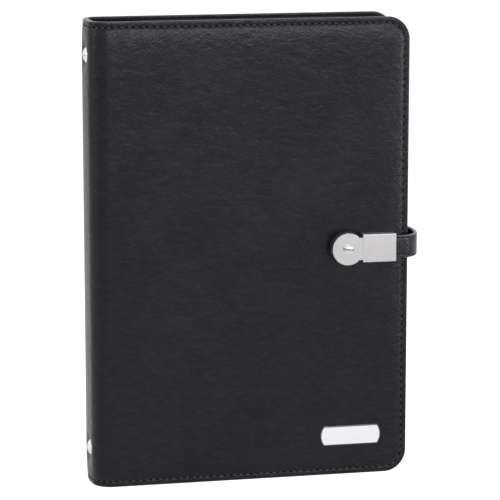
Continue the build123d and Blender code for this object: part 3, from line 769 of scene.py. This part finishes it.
rivet_low, rivet_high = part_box("spine_rivets")
RIVET_HEIGHTS = (rivet_low.z + RIVET_RADIUS, rivet_high.z - RIVET_RADIUS)
spine_holes = [-SPINE_HALF + 2 * SPINE_HALF * (j + 0.5) / SPINE_STITCHES
               for j in range(SPINE_STITCHES)]
fold_holes = [SPINE_HALF + ARC_LENGTH * (j + 0.5) / FOLD_STITCHES for j in range(FOLD_STITCHES)]


def wrap(s, h):
    """Plan position on the wrapped cover: s along the outside from the middle of the spine,
    positive towards the back cover, and h outwards from the inner face of the leather."""
    side = 1 if s > 0 else -1
    a = abs(s)
    reach = SPINE_RADIUS - SHELL + h
    if a <= SPINE_HALF:
        return X_SPINE + SHELL - h, SPINE_Y + s
    if a <= SPINE_HALF + ARC_LENGTH:
        angle = (a - SPINE_HALF) / SPINE_RADIUS
        return (X_FLAT - reach * math.cos(angle),
                SPINE_Y + side * (SPINE_HALF + reach * math.sin(angle)))
    return X_FLAT + a - SPINE_HALF - ARC_LENGTH, SPINE_Y + side * (SPINE_HALF + reach)


def strip_rows():
    """Closed loop of (z, h, d) round a strip, from the inside at the bottom round the face. Rows
    lie closest near the rivets."""
    low, high = RIVET_HEIGHTS
    marks = (FIELD_INSET, low - RIVET_FIELD, low + RIVET_FIELD, high - RIVET_FIELD,
             high + RIVET_FIELD, HEIGHT - FIELD_INSET)
    field = [FIELD_INSET]
    for low, high, step in zip(marks, marks[1:], ROW_STEPS):
        field += even(low, high, step * MM)[1:]
    rows = [(d, h, d) for d, h in PROFILE]
    rows += [(z, face_height(min(z, HEIGHT - z)), min(z, HEIGHT - z)) for z in field]
    return rows + [(HEIGHT - d, h, d) for d, h in reversed(PROFILE)]


STRIP_ROWS = strip_rows()


def build_strip(name, columns, lift, motion, node):
    """Leather strip over the height of the cover; columns are places along the wrap."""
    loops = [[(*wrap(s, h + lift(s, z, d) * min(h / WELT_HEIGHT, 1.0)), z)
              for z, h, d in STRIP_ROWS] for s in columns]
    loft(name, loops, "cover_leather", motion, node)


def spine_lift(s, z, d):
    """The spine is full from end to end, and the rivets pull it in."""
    share = min(abs(s) / SPINE_FULL_REACH, 1.0)
    full = SPINE_FULLNESS + END_FULLNESS * (1 - smooth(STITCH_INSET, END_REACH, d))
    full *= math.cos(math.pi / 2 * share) ** 2
    for height in RIVET_HEIGHTS:
        away = math.hypot(s, DIMPLE_HEIGHT_SHARE * (z - height))
        full += (-FIELD_RISE - full) * (1 - smooth(DIMPLE_REACH, DIMPLE_FADE, away))
    return full


def fold_lift(s, z, d):
    """Fullness carried on from the spine, and faint creases with none at the borders."""
    inside = min(abs(s) - SPINE_HALF, SPINE_HALF + ARC_LENGTH - abs(s))
    crease = CREASE_HEIGHT * noise.noise(Vector((s * CREASES_S, z * CREASES_Z, CREASE_SEED)))
    crease *= smooth(0, CREASE_INSET, inside)
    return spine_lift(s, z, d) + crease * smooth(CREASE_START, CREASE_FULL, d)


def cloth_loop(heights, outer, inner):
    """Closed loop of (z, depth) round a lining, whose inner face is eased at both ends."""
    ease = math.copysign(CLOTH_EASE, outer - inner)
    ends = heights[0], heights[-1]
    loop = [(z, outer) for z in heights]
    return loop + [(z, inner + (ease if z in ends else 0.0)) for z in reversed(heights)]


def build_fold_cloth(name, side, centre_y, motion, node):
    """Lining of a fold, from the inner face of the leather inwards."""
    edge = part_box("spine_lining")[0].z
    heights = [edge, edge + CLOTH_RIM] + even(CLOTH_END, HEIGHT - CLOTH_END, CLOTH_ROW)
    heights += [HEIGHT - edge - CLOTH_RIM, HEIGHT - edge]
    loop = cloth_loop(heights, SPINE_RADIUS - SHELL, SPINE_RADIUS - SHELL - LINING)
    loops = []
    for share in steps(0, 1, CLOTH_ANGLES):
        angle = share * math.pi / 2
        loops.append([(X_FLAT - radius * math.cos(angle),
                       centre_y + side * radius * math.sin(angle), z) for z, radius in loop])
    loft(name, loops, "lining_cloth", motion, node)


def wrap_seams(thread, holes, places, side):
    """Dark slits painted as shade in the needle holes, and stitches from place to place, at both
    ends of the spine or of a fold.
    """
    seam = face_height(STITCH_INSET)
    slant = THREAD_SLANT * side

    def point(s, z, aside=0.0):
        x, y = wrap(side * s, seam + spine_lift(s, z, STITCH_INSET))
        return x, y, z + aside

    def outward(s):
        angle = min(max((s - SPINE_HALF) / SPINE_RADIUS, 0.0), math.pi / 2)
        return Vector((-math.cos(angle), side * math.sin(angle), 0))

    for z in (STITCH_INSET, HEIGHT - STITCH_INSET):
        for hole in holes:
            out = outward(hole)
            thread.hole(point(hole, z), (-out.y, out.x, 0), out)
        for low, high in zip(places, places[1:]):
            start = point(low + THREAD_BACK_OFF, z, -slant)
            end = point(high - THREAD_BACK_OFF, z, slant)
            thread.stitch(start, end, outward((low + high) / 2))


build_strip("spine_cover_leather", even(-SPINE_HALF, SPINE_HALF, STRIP_STEP), spine_lift,
            "spine", "spine_leather")

for side, word in ((-1, "front"), (1, "back")):
    centre_y = SPINE_Y + side * SPINE_HALF
    at_spine = (X_SPINE, centre_y, 0)
    at_cover = (X_FLAT, centre_y + side * SPINE_RADIUS, 0)
    if side < 0:
        ends = ("spine", "front_cover", at_spine, at_cover)
    else:
        ends = ("back_cover", "spine", at_cover, at_spine)
    columns = [side * s for s in even(SPINE_HALF, SPINE_HALF + ARC_LENGTH, STRIP_STEP)]
    build_strip(word + "_fold_skin", columns, fold_lift, ends, word + "_fold_leather")
    build_fold_cloth(word + "_fold_cloth", side, centre_y, ends, word + "_fold_lining")
    thread = ThreadRun()
    places = [spine_holes[-1], *fold_holes, SPINE_HALF + ARC_LENGTH + STITCH_PITCH / 2]
    wrap_seams(thread, fold_holes, places, side)
    thread.piece(word + "_fold_stitches", ends)

thread = ThreadRun()
wrap_seams(thread, spine_holes, spine_holes, 1)
thread.piece("spine_stitches", "spine")


# ---- linings, pockets and other flat soft pieces

FLAT_STEP = 3.0 * MM
FLAT_ROUNDING = 0.2 * MM
ROUNDING_SHARE = 0.45
BEVEL_SHARE = 0.3
FLAT_RIM = 1.2 * MM
FLAT_WAVE = 0.03 * MM
FLAT_WAVES_X, FLAT_WAVES_Z, FLAT_SEEDS = 45, 40, 1000
FLAT_WAVE_REACH = 6 * MM
LINING_RADIUS = 10.5 * MM
POCKET_RADIUS = 6 * MM
CARD_RADIUS = 1.0 * MM
FOAM_RADIUS = 1.5 * MM
POCKET_THREAD_RADIUS = 0.2 * MM
POCKET_STITCH_INSET = 2.0 * MM
POCKET_STITCH_PITCH = 3.0 * MM
POCKET_STITCH_SHARES = (0.14, 0.86)
POCKET_SEAM_DROP = 6 * MM
CARD_SEAM_DROP = 2.5 * MM
FINE_ARCH = 0.05 * MM
FINE_SINK = 0.2 * MM
SPINE_CLOTH_COLUMN = 4 * MM
SPINE_CLOTH_ROW = 20 * MM


def flat_piece(name, node, body, direction, radius, material, open_left=False, seam=None):
    """Flat soft piece with rounded edges that stands for a CAD slab. Its face looks along Y to the
    side of direction. A pocket is sewn along its sides and lower edge, where seam = (height the
    stitches start at, their distance from the top)."""
    low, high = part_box(node)
    thickness = high.y - low.y
    base = low.y if direction > 0 else high.y
    panel = Panel(low.x, high.x, low.z, high.z, base, direction, radius, open_left, FLAT_STEP, 1,
                  POCKET_STITCH_INSET)
    r = min(FLAT_ROUNDING, thickness * ROUNDING_SHARE)
    bevel = BEVEL_SHARE * r
    rings = [(0.0, 0.0), (0.0, thickness - r), (bevel, thickness - bevel), (r, thickness),
             (r + FLAT_RIM, thickness)]

    def field(x, z, d):
        wave = noise.noise(Vector((x * FLAT_WAVES_X, z * FLAT_WAVES_Z, base * FLAT_SEEDS)))
        return thickness + FLAT_WAVE * wave * smooth(0, FLAT_WAVE_REACH, d)

    verts, faces = panel.build(rings, field)
    make_object(name, verts, faces, material, body, node)
    if not seam:
        return
    thread = ThreadRun(POCKET_THREAD_RADIUS)
    for j in range(int(panel.lengths[-1] / POCKET_STITCH_PITCH)):
        ends = [panel.at((j + share) * POCKET_STITCH_PITCH, POCKET_STITCH_INSET)
                for share in POCKET_STITCH_SHARES]
        if all(seam[0] < z < high.z - seam[1] for _, z in ends):
            start, end = [panel.world(x, z, thickness) for x, z in ends]
            thread.stitch(start, end, (0, direction, 0), FINE_ARCH, FINE_SINK)
    thread.piece(name + "_stitches", body)


flat_piece("front_cover_cloth", "front_lining", "front_cover", 1, LINING_RADIUS, "lining_cloth",
           True)
flat_piece("back_cover_cloth", "back_lining", "back_cover", -1, LINING_RADIUS, "lining_cloth", True)
flat_piece("back_cover_pocket", "back_pocket", "back_cover", -1, POCKET_RADIUS, "pocket_leather",
           seam=(0, POCKET_SEAM_DROP))
flat_piece("front_cover_pocket", "document_pocket", "front_cover", 1, POCKET_RADIUS,
           "pocket_leather", seam=(0, POCKET_SEAM_DROP))
below = 0.0
for layer in ("front", "middle", "rear"):
    flat_piece("card_slot_" + layer, "card_pocket_" + layer, "front_cover", 1, CARD_RADIUS,
               "pocket_leather", seam=(below, CARD_SEAM_DROP))
    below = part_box("card_pocket_" + layer)[1].z
flat_piece("bank_foam", "bank_pad", "back_cover", -1, FOAM_RADIUS, "foam_tape")

# lining of the spine, between the two folds
low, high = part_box("spine_lining")
loop = cloth_loop(even(low.z, high.z, SPINE_CLOTH_ROW), low.x, high.x)
loops = [[(x, y, z) for z, x in loop] for y in even(low.y, high.y, SPINE_CLOTH_COLUMN)]
loft("spine_cloth", loops, "lining_cloth", "spine", "spine_lining")


# ---- closing strap

STRAP_FULLNESS = 2.4 * MM
STRAP_CORNER_CUT = 0.9 * MM
STRAP_CORNER_RUN = 4.0 * MM
STRAP_STEP = 0.6 * MM
STRAP_ROUNDING = 0.62 * MM
STRAP_END_RADIUS = 3.2 * MM
STRAP_GROOVE = 0.22 * MM
STRAP_GROOVE_WIDTH = 0.34 * MM
STRAP_STITCH_INSET = 1.45 * MM
STRAP_PITCH = 2.6 * MM
STRAP_THREAD_RADIUS = 0.2 * MM
STRAP_THREAD_SLANT = 0.18 * MM
STRAP_THREAD_BACK_OFF = 0.5 * MM
STRAP_THREAD_ARCH = 0.08 * MM
# Dark slits painted as the shade inside the strap's needle holes
STRAP_HOLE_LENGTH = 1.25 * MM
STRAP_HOLE_WIDTH = 0.5 * MM
FIRST_STITCH = 4 * MM

# Drawn centre line in plan, and the lengths along it at which its runs and bends end
tail_low, tail_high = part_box("strap_tail")
end_low, end_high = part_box("strap_end")
STRAP_THICK = middle_high.x - middle_low.x
STRAP_X = (middle_low.x + middle_high.x) / 2
TAIL_Y = (tail_low.y + tail_high.y) / 2
END_Y = (end_low.y + end_high.y) / 2
ROOT_RADIUS = STRAP_X - tail_high.x
TIP_RADIUS = STRAP_X - end_high.x
TAIL_END = tail_high.x - tail_low.x
ROOT_END = TAIL_END + ROOT_RADIUS * math.pi / 2
MIDDLE_END = ROOT_END + middle_high.y - middle_low.y
TIP_END = MIDDLE_END + TIP_RADIUS * math.pi / 2
STRAP_END = TIP_END + end_high.x - end_low.x


def bend(x, y, radius, angle):
    """Place on a bend, and its outward direction."""
    out = math.cos(angle), math.sin(angle)
    return (x + radius * out[0], y + radius * out[1]), out


def strap_line(s):
    """Drawn centre line of the strap from its sewn end: place, and outward direction, in plan."""
    if s <= TAIL_END:
        return (tail_low.x + s, TAIL_Y), (0, 1)
    if s <= ROOT_END:
        turn = (s - TAIL_END) / ROOT_RADIUS
        return bend(tail_high.x, TAIL_Y - ROOT_RADIUS, ROOT_RADIUS, math.pi / 2 - turn)
    if s <= MIDDLE_END:
        return (STRAP_X, middle_high.y - (s - ROOT_END)), (1, 0)
    if s <= TIP_END:
        turn = (s - MIDDLE_END) / TIP_RADIUS
        return bend(end_high.x, END_Y + TIP_RADIUS, TIP_RADIUS, -turn)
    return (end_high.x - (s - TIP_END), END_Y), (0, -1)


def hump(value, low, high):
    """Smooth hump of height 1 between low and high."""
    share = (value - low) / (high - low)
    return math.sin(math.pi * share) ** 2 if 0 < share < 1 else 0.0


def strap_path(s):
    """Centre line with the slack of real leather between the two bends."""
    (x, y), (nx, ny) = strap_line(s)
    full = STRAP_FULLNESS * hump(s, TAIL_END, TIP_END)
    full -= STRAP_CORNER_CUT * hump(s, TAIL_END, ROOT_END + STRAP_CORNER_RUN)
    full -= STRAP_CORNER_CUT * hump(s, MIDDLE_END - STRAP_CORNER_RUN, TIP_END)
    return (x + nx * full, y + ny * full), (nx, ny)


def strap_point(s, w, t):
    (x, y), (nx, ny) = strap_path(s)
    return Vector((x + nx * t, y + ny * t, STRAP_Z + w))


def strap_section():
    """Loop of (w, t) round the strap: rounded edges, and a seam near each edge of both faces."""
    half, thick, r = STRAP_HALF, STRAP_THICK / 2, STRAP_ROUNDING
    seam = half - STRAP_STITCH_INSET
    face = [half - r, half - 1.0 * MM, seam + 0.3 * MM, seam, seam - 0.3 * MM, half - 2.3 * MM,
            half - 3.4 * MM, 1.2 * MM, 0.0]
    face += [-w for w in reversed(face[:-1])]
    points = []
    for w in face:
        groove = math.exp(-((abs(w) - seam) / STRAP_GROOVE_WIDTH) ** 2)
        points.append((w, thick - STRAP_GROOVE * groove))
    turns = [(r * (1 - math.cos(a)), r * (1 - math.sin(a))) for a in (math.pi / 6, math.pi / 3)]
    points += [(-half + b, thick - a) for a, b in turns]
    points += [(-half, thick - r), (-half, -thick + r)]
    points += [(-half + a, -thick + b) for a, b in turns]
    return points + [(-w, -t) for w, t in points]


STRAP_SECTION = strap_section()


def strap_width(s):
    """Width of the strap as a share of the full one: rounded at the sewn end."""
    r = STRAP_END_RADIUS
    if s >= r:
        return 1.0
    lack = r - math.sqrt(max(r * r - (r - s) ** 2, 0.0))
    return (STRAP_HALF - lack) / STRAP_HALF


def build_strap(name, node, start, end, motion):
    """Run or bend of the strap, with two rows of stitches on its outer face. Those of a bend reach
    into the runs beside it."""
    loops = [[strap_point(s, w * strap_width(s), t) for w, t in STRAP_SECTION]
             for s in even(start, end, STRAP_STEP)]
    loft(name, loops, "strap_leather", motion, node)

    thread = ThreadRun(STRAP_THREAD_RADIUS)
    level = STRAP_THICK / 2 - STRAP_GROOVE
    reach = 0.0 if isinstance(motion, str) else STRAP_PITCH
    first = math.ceil(max(start - reach, FIRST_STITCH) / STRAP_PITCH - 0.5)
    last = math.floor((end + reach) / STRAP_PITCH - 0.5)
    holes = [(j + 0.5) * STRAP_PITCH for j in range(first, last + 1)]
    for row in (-1, 1):
        w = row * (STRAP_HALF - STRAP_STITCH_INSET)
        for hole in holes:
            if start <= hole < end:
                _, (nx, ny) = strap_path(hole)
                thread.hole(strap_point(hole, w, level), (-ny, nx, 0), (nx, ny, 0),
                            STRAP_HOLE_LENGTH, STRAP_HOLE_WIDTH)
        for a, b in zip(holes, holes[1:]):
            _, (nx, ny) = strap_path((a + b) / 2)
            p = strap_point(a + STRAP_THREAD_BACK_OFF, w + STRAP_THREAD_SLANT, level)
            q = strap_point(b - STRAP_THREAD_BACK_OFF, w - STRAP_THREAD_SLANT, level)
            thread.stitch(p, q, (nx, ny, 0), STRAP_THREAD_ARCH, FINE_SINK)
    thread.piece(name + "_stitches", motion)


root_ends = (tail_high.x, TAIL_Y, 0), (STRAP_X, TAIL_Y - ROOT_RADIUS, 0)
tip_ends = (STRAP_X, END_Y + TIP_RADIUS, 0), (STRAP_X - TIP_RADIUS, END_Y, 0)
build_strap("strap_sewn_end", "strap_tail", 0.0, TAIL_END, "back_cover")
build_strap("strap_back_bend", "strap_root_bend", TAIL_END, ROOT_END,
            ("back_cover", "strap", *root_ends))
build_strap("strap_run", "strap_middle", ROOT_END, MIDDLE_END, "strap")
build_strap("strap_front_bend", "strap_tip_bend", MIDDLE_END, TIP_END,
            ("strap", "clasp", *tip_ends))
build_strap("strap_tongue", "strap_end", TIP_END, STRAP_END, "clasp")


# ---- slotted screw of the memory stick

SCREW_RIM = 0.25 * MM
SCREW_STEPS = 24
SCREW_SINK = 0.2 * MM
# Columns on each side of the slot, as angles from the screw's middle line
SCREW_ANGLES = (84, 76, 66, 56, 46, 36, 26, 18)
SLOT_HALF = 0.5 * MM
SLOT_DEPTH = 0.6 * MM
SLOT_TURN = math.radians(7)
SLOT_MARGIN = 0.01 * MM
SHANK_RADIUS = 1.2 * MM
SHANK_SIDES = 16


def build_screw():
    """Domed head with a screwdriver slot, whose walls have two columns each, and its shank."""
    low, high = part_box("usb_screw")
    centre = (low + high) / 2
    radius = (high.x - low.x) / 2
    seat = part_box("usb_face_plate")[0].y
    rise = seat - low.y - SCREW_RIM
    sphere = (radius ** 2 + rise ** 2) / (2 * rise)
    slot_floor = SCREW_RIM + rise - SLOT_DEPTH
    cos, sin = math.cos(SLOT_TURN), math.sin(SLOT_TURN)
    outer = [radius * math.sin(math.radians(a)) for a in SCREW_ANGLES] + [SLOT_HALF]
    columns = [(v, False) for v in outer]
    columns += [(SLOT_HALF * share, True) for share in (1, 0.5, 0, -0.5, -1)]
    columns += [(-v, False) for v in reversed(outer)]

    verts, faces = [], []
    for v, cut in columns:
        reach = math.sqrt(radius ** 2 - v ** 2)
        for share in steps(0, 1, SCREW_STEPS):
            u = reach * math.sin(math.pi * (share - 0.5))
            h = SCREW_RIM + math.sqrt(sphere ** 2 - u * u - v * v) - sphere + rise
            if cut:
                h = min(h, slot_floor)
            verts.append((centre.x + u * cos + v * sin, seat - h, centre.z - u * sin + v * cos))
    row = SCREW_STEPS + 1
    last = len(columns) - 1
    for c in range(last):
        faces += band(range(c * row, last * row), range((c + 1) * row, len(verts)), SCREW_STEPS)

    # wall and underside of the head
    rim = list(range(row))
    rim += [c * row + SCREW_STEPS for c in range(1, last)]
    rim += [last * row + k for k in range(SCREW_STEPS, -1, -1)]
    rim += [c * row for c in range(last - 1, 0, -1)]
    base = len(verts)
    verts += [(verts[i][0], seat + SCREW_SINK, verts[i][2]) for i in rim]
    faces += band(rim, range(base, len(verts))) + [tuple(range(base, len(verts)))]

    faces += loft_faces(2, SHANK_SIDES, len(verts))
    for y in (seat + SCREW_SINK, high.y):
        verts += [(centre.x + SHANK_RADIUS * a, y, centre.z + SHANK_RADIUS * b)
                  for a, b in circle(SHANK_SIDES)]
    screw = make_object("slotted_screw", verts, faces, "screw_steel", "usb_drive", "usb_screw")

    def in_slot(place):
        across = (place.z - centre.z) * cos + (place.x - centre.x) * sin
        return (abs(across) < SLOT_HALF + SLOT_MARGIN
                and seat - slot_floor - SLOT_MARGIN < place.y < seat)

    # the slot's faces take the darker steel: painted shade in the slot
    repaint(screw, "slot_dirt", [face for face in screw.data.polygons if in_slot(face.center)])


build_screw()


# ---- blank name plate

PLATE_BOW = 1.8 * MM
PLATE_RIM = 0.7 * MM
PLATE_RIM_STEPS = 6
PLATE_CROWN = 0.05 * MM
PLATE_SINK = 0.2 * MM
PLATE_SIDE_STEPS = 16
PLATE_END_STEPS = 14
# Rings of the mirror face, as shares of its outline
PLATE_RINGS = (0.98, 0.9, 0.75, 0.55, 0.3)


def build_name_plate():
    """Plate with bowed ends, a rounded rim and a faint crown, let a little into the leather. The rim
    is painted dark, as painted shade along the plate's edge.
    """
    low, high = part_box("name_plate")
    middle = (low + high) / 2
    half, tall = (high.x - low.x) / 2, (high.z - low.z) / 2
    end_radius = (tall ** 2 + PLATE_BOW ** 2) / (2 * PLATE_BOW)
    end_centre = half - end_radius
    face = low.y

    def outline(d):
        radius = end_radius - d
        angle = math.asin((tall - d) / radius)
        corner = end_centre + radius * math.cos(angle)
        points = []
        for sign in (1, -1):
            for share in steps(-1, 1, PLATE_SIDE_STEPS)[:-1]:
                points.append((sign * share * corner, sign * (tall - d)))
            for turn in steps(angle, -angle, PLATE_END_STEPS)[:-1]:
                points.append((sign * (end_centre + radius * math.cos(turn)),
                               sign * radius * math.sin(turn)))
        return points

    rim = [(0.0, Y_FRONT + PLATE_SINK), (0.0, face + PLATE_RIM)]
    for a in steps(0, math.pi / 2, PLATE_RIM_STEPS)[1:]:
        rim.append((PLATE_RIM * (1 - math.cos(a)), face + PLATE_RIM * (1 - math.sin(a))))
    rings = [(y, 1, outline(d)) for d, y in rim]
    for share in PLATE_RINGS:
        rings.append((face - PLATE_CROWN * (1 - share ** 2), share, outline(PLATE_RIM)))
    loops = [[(middle.x + x * share, y, middle.z + z * share) for x, z in ring]
             for y, share, ring in rings]
    plate = loft("blank_name_plate", loops, "mirror_plate", "front_cover", "name_plate")
    # the rim's faces take the dark painted shade
    repaint(plate, "plate_rim", plate.data.polygons[:(len(rim) - 1) * len(loops[0])])


build_name_plate()


# ---- CAD pieces that stay get their finish

slots = {part["node"]: part["material_slot"] for part in frame["record"]["subparts"]}
for name, node in frame["nodes"].items():
    if name not in slots:
        continue
    finish = MATERIALS[slots[name]]
    if not node.data.materials:
        node.data.materials.append(finish)
    for material_slot in node.material_slots:
        material_slot.material = finish


# ---- stage, light and camera

FLOOR_RADIUS = 12.0
FLOOR_SIDES = 96
FLOOR_DROP = 0.05 * MM
FLOOR_WHITE = (0.66, 0.66, 0.66, 1)
WHITE = (1, 1, 1, 1)

CAMERA_TURN = math.radians(12.5)
CAMERA_PITCH = math.radians(10.294)
CAMERA_SIDE = 77.62 * MM
CAMERA_HEIGHT = 349.6 * MM
CAMERA_DISTANCE = 1251.3 * MM
CAMERA_SENSOR = 36
# Focal length in picture pixels, over the width of the picture
CAMERA_FOCAL = 2567.6 / 500


def seen_directly(nodes, camera_level, glossy_level, base_level):
    """Strength that depends on what looks: the camera, a reflection, or diffuse light."""
    camera, through, glossy = [nodes.node("ShaderNodeLightPath", f"Is {kind} Ray", {})
                               for kind in ("Camera", "Transmission", "Glossy")]
    direct = nodes.math("MAXIMUM", camera, through)
    level = nodes.math("MULTIPLY_ADD", direct, camera_level - base_level, base_level)
    return nodes.math("MULTIPLY_ADD", glossy, glossy_level - base_level, level)


def area_light(name, place, target, width, height, power):
    data = bpy.data.lights.new(name, "AREA")
    data.shape = "RECTANGLE"
    data.size, data.size_y = width, height
    data.energy = power
    lamp = add_object(name, data)
    lamp.location = place
    lamp.rotation_euler = (Vector(target) - Vector(place)).to_track_quat("-Z", "Y").to_euler()


# White paper: matt under the lamps, with the studio's white added where it is seen or mirrored
floor_paper = bpy.data.materials.new("floor_paper")
paper_nodes = Nodes(floor_paper, "Principled BSDF")
paper_nodes.feed(paper_nodes.shader, {
    "Base Color": FLOOR_WHITE, "Roughness": 1.0, "Specular IOR Level": 0.0,
    "Emission Color": WHITE, "Emission Strength": seen_directly(paper_nodes, 0.72, 0.28, 0.0)})
floor_mesh = bpy.data.meshes.new("floor")
floor_mesh.from_pydata([(FLOOR_RADIUS * a, FLOOR_RADIUS * b, -FLOOR_DROP)
                        for a, b in circle(FLOOR_SIDES)], [], [tuple(range(FLOOR_SIDES))])
floor_mesh.materials.append(floor_paper)
floor = add_object("floor", floor_mesh)
floor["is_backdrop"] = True

world = bpy.data.worlds.new("studio")
bpy.context.scene.world = world
studio = Nodes(world, "Background")
studio.feed(studio.shader, {"Color": WHITE, "Strength": seen_directly(studio, 1.0, 1.0, 0.45)})

area_light("front_softbox", (0.45, -2.1, 0.68), (0, 0, 0.16), 1.3, 0.36, 10)
area_light("top_softbox", (0.0, -0.35, 1.9), (0, 0, 0.2), 1.2, 0.9, 20)
area_light("right_softbox", (0.95, -0.9, 0.1), (0.05, 0, 0.08), 0.5, 0.5, 4.8)
area_light("left_softbox", (-1.3, -0.1, 0.6), (0, 0, 0.12), 0.5, 1.0, 2)

camera_data = bpy.data.cameras.new("camera")
camera_data.sensor_width = CAMERA_SENSOR
camera_data.lens = CAMERA_FOCAL * CAMERA_SENSOR
camera = add_object("camera", camera_data)
camera.location = (
    X_SPINE + CAMERA_SIDE * math.cos(CAMERA_TURN) - CAMERA_DISTANCE * math.sin(CAMERA_TURN),
    Y_FRONT - CAMERA_SIDE * math.sin(CAMERA_TURN) - CAMERA_DISTANCE * math.cos(CAMERA_TURN),
    CAMERA_HEIGHT,
)
camera.rotation_euler = Euler((math.pi / 2 - CAMERA_PITCH, 0, -CAMERA_TURN))
bpy.context.scene.camera = camera

bpy.context.scene.view_settings.view_transform = "Standard"

low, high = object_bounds()
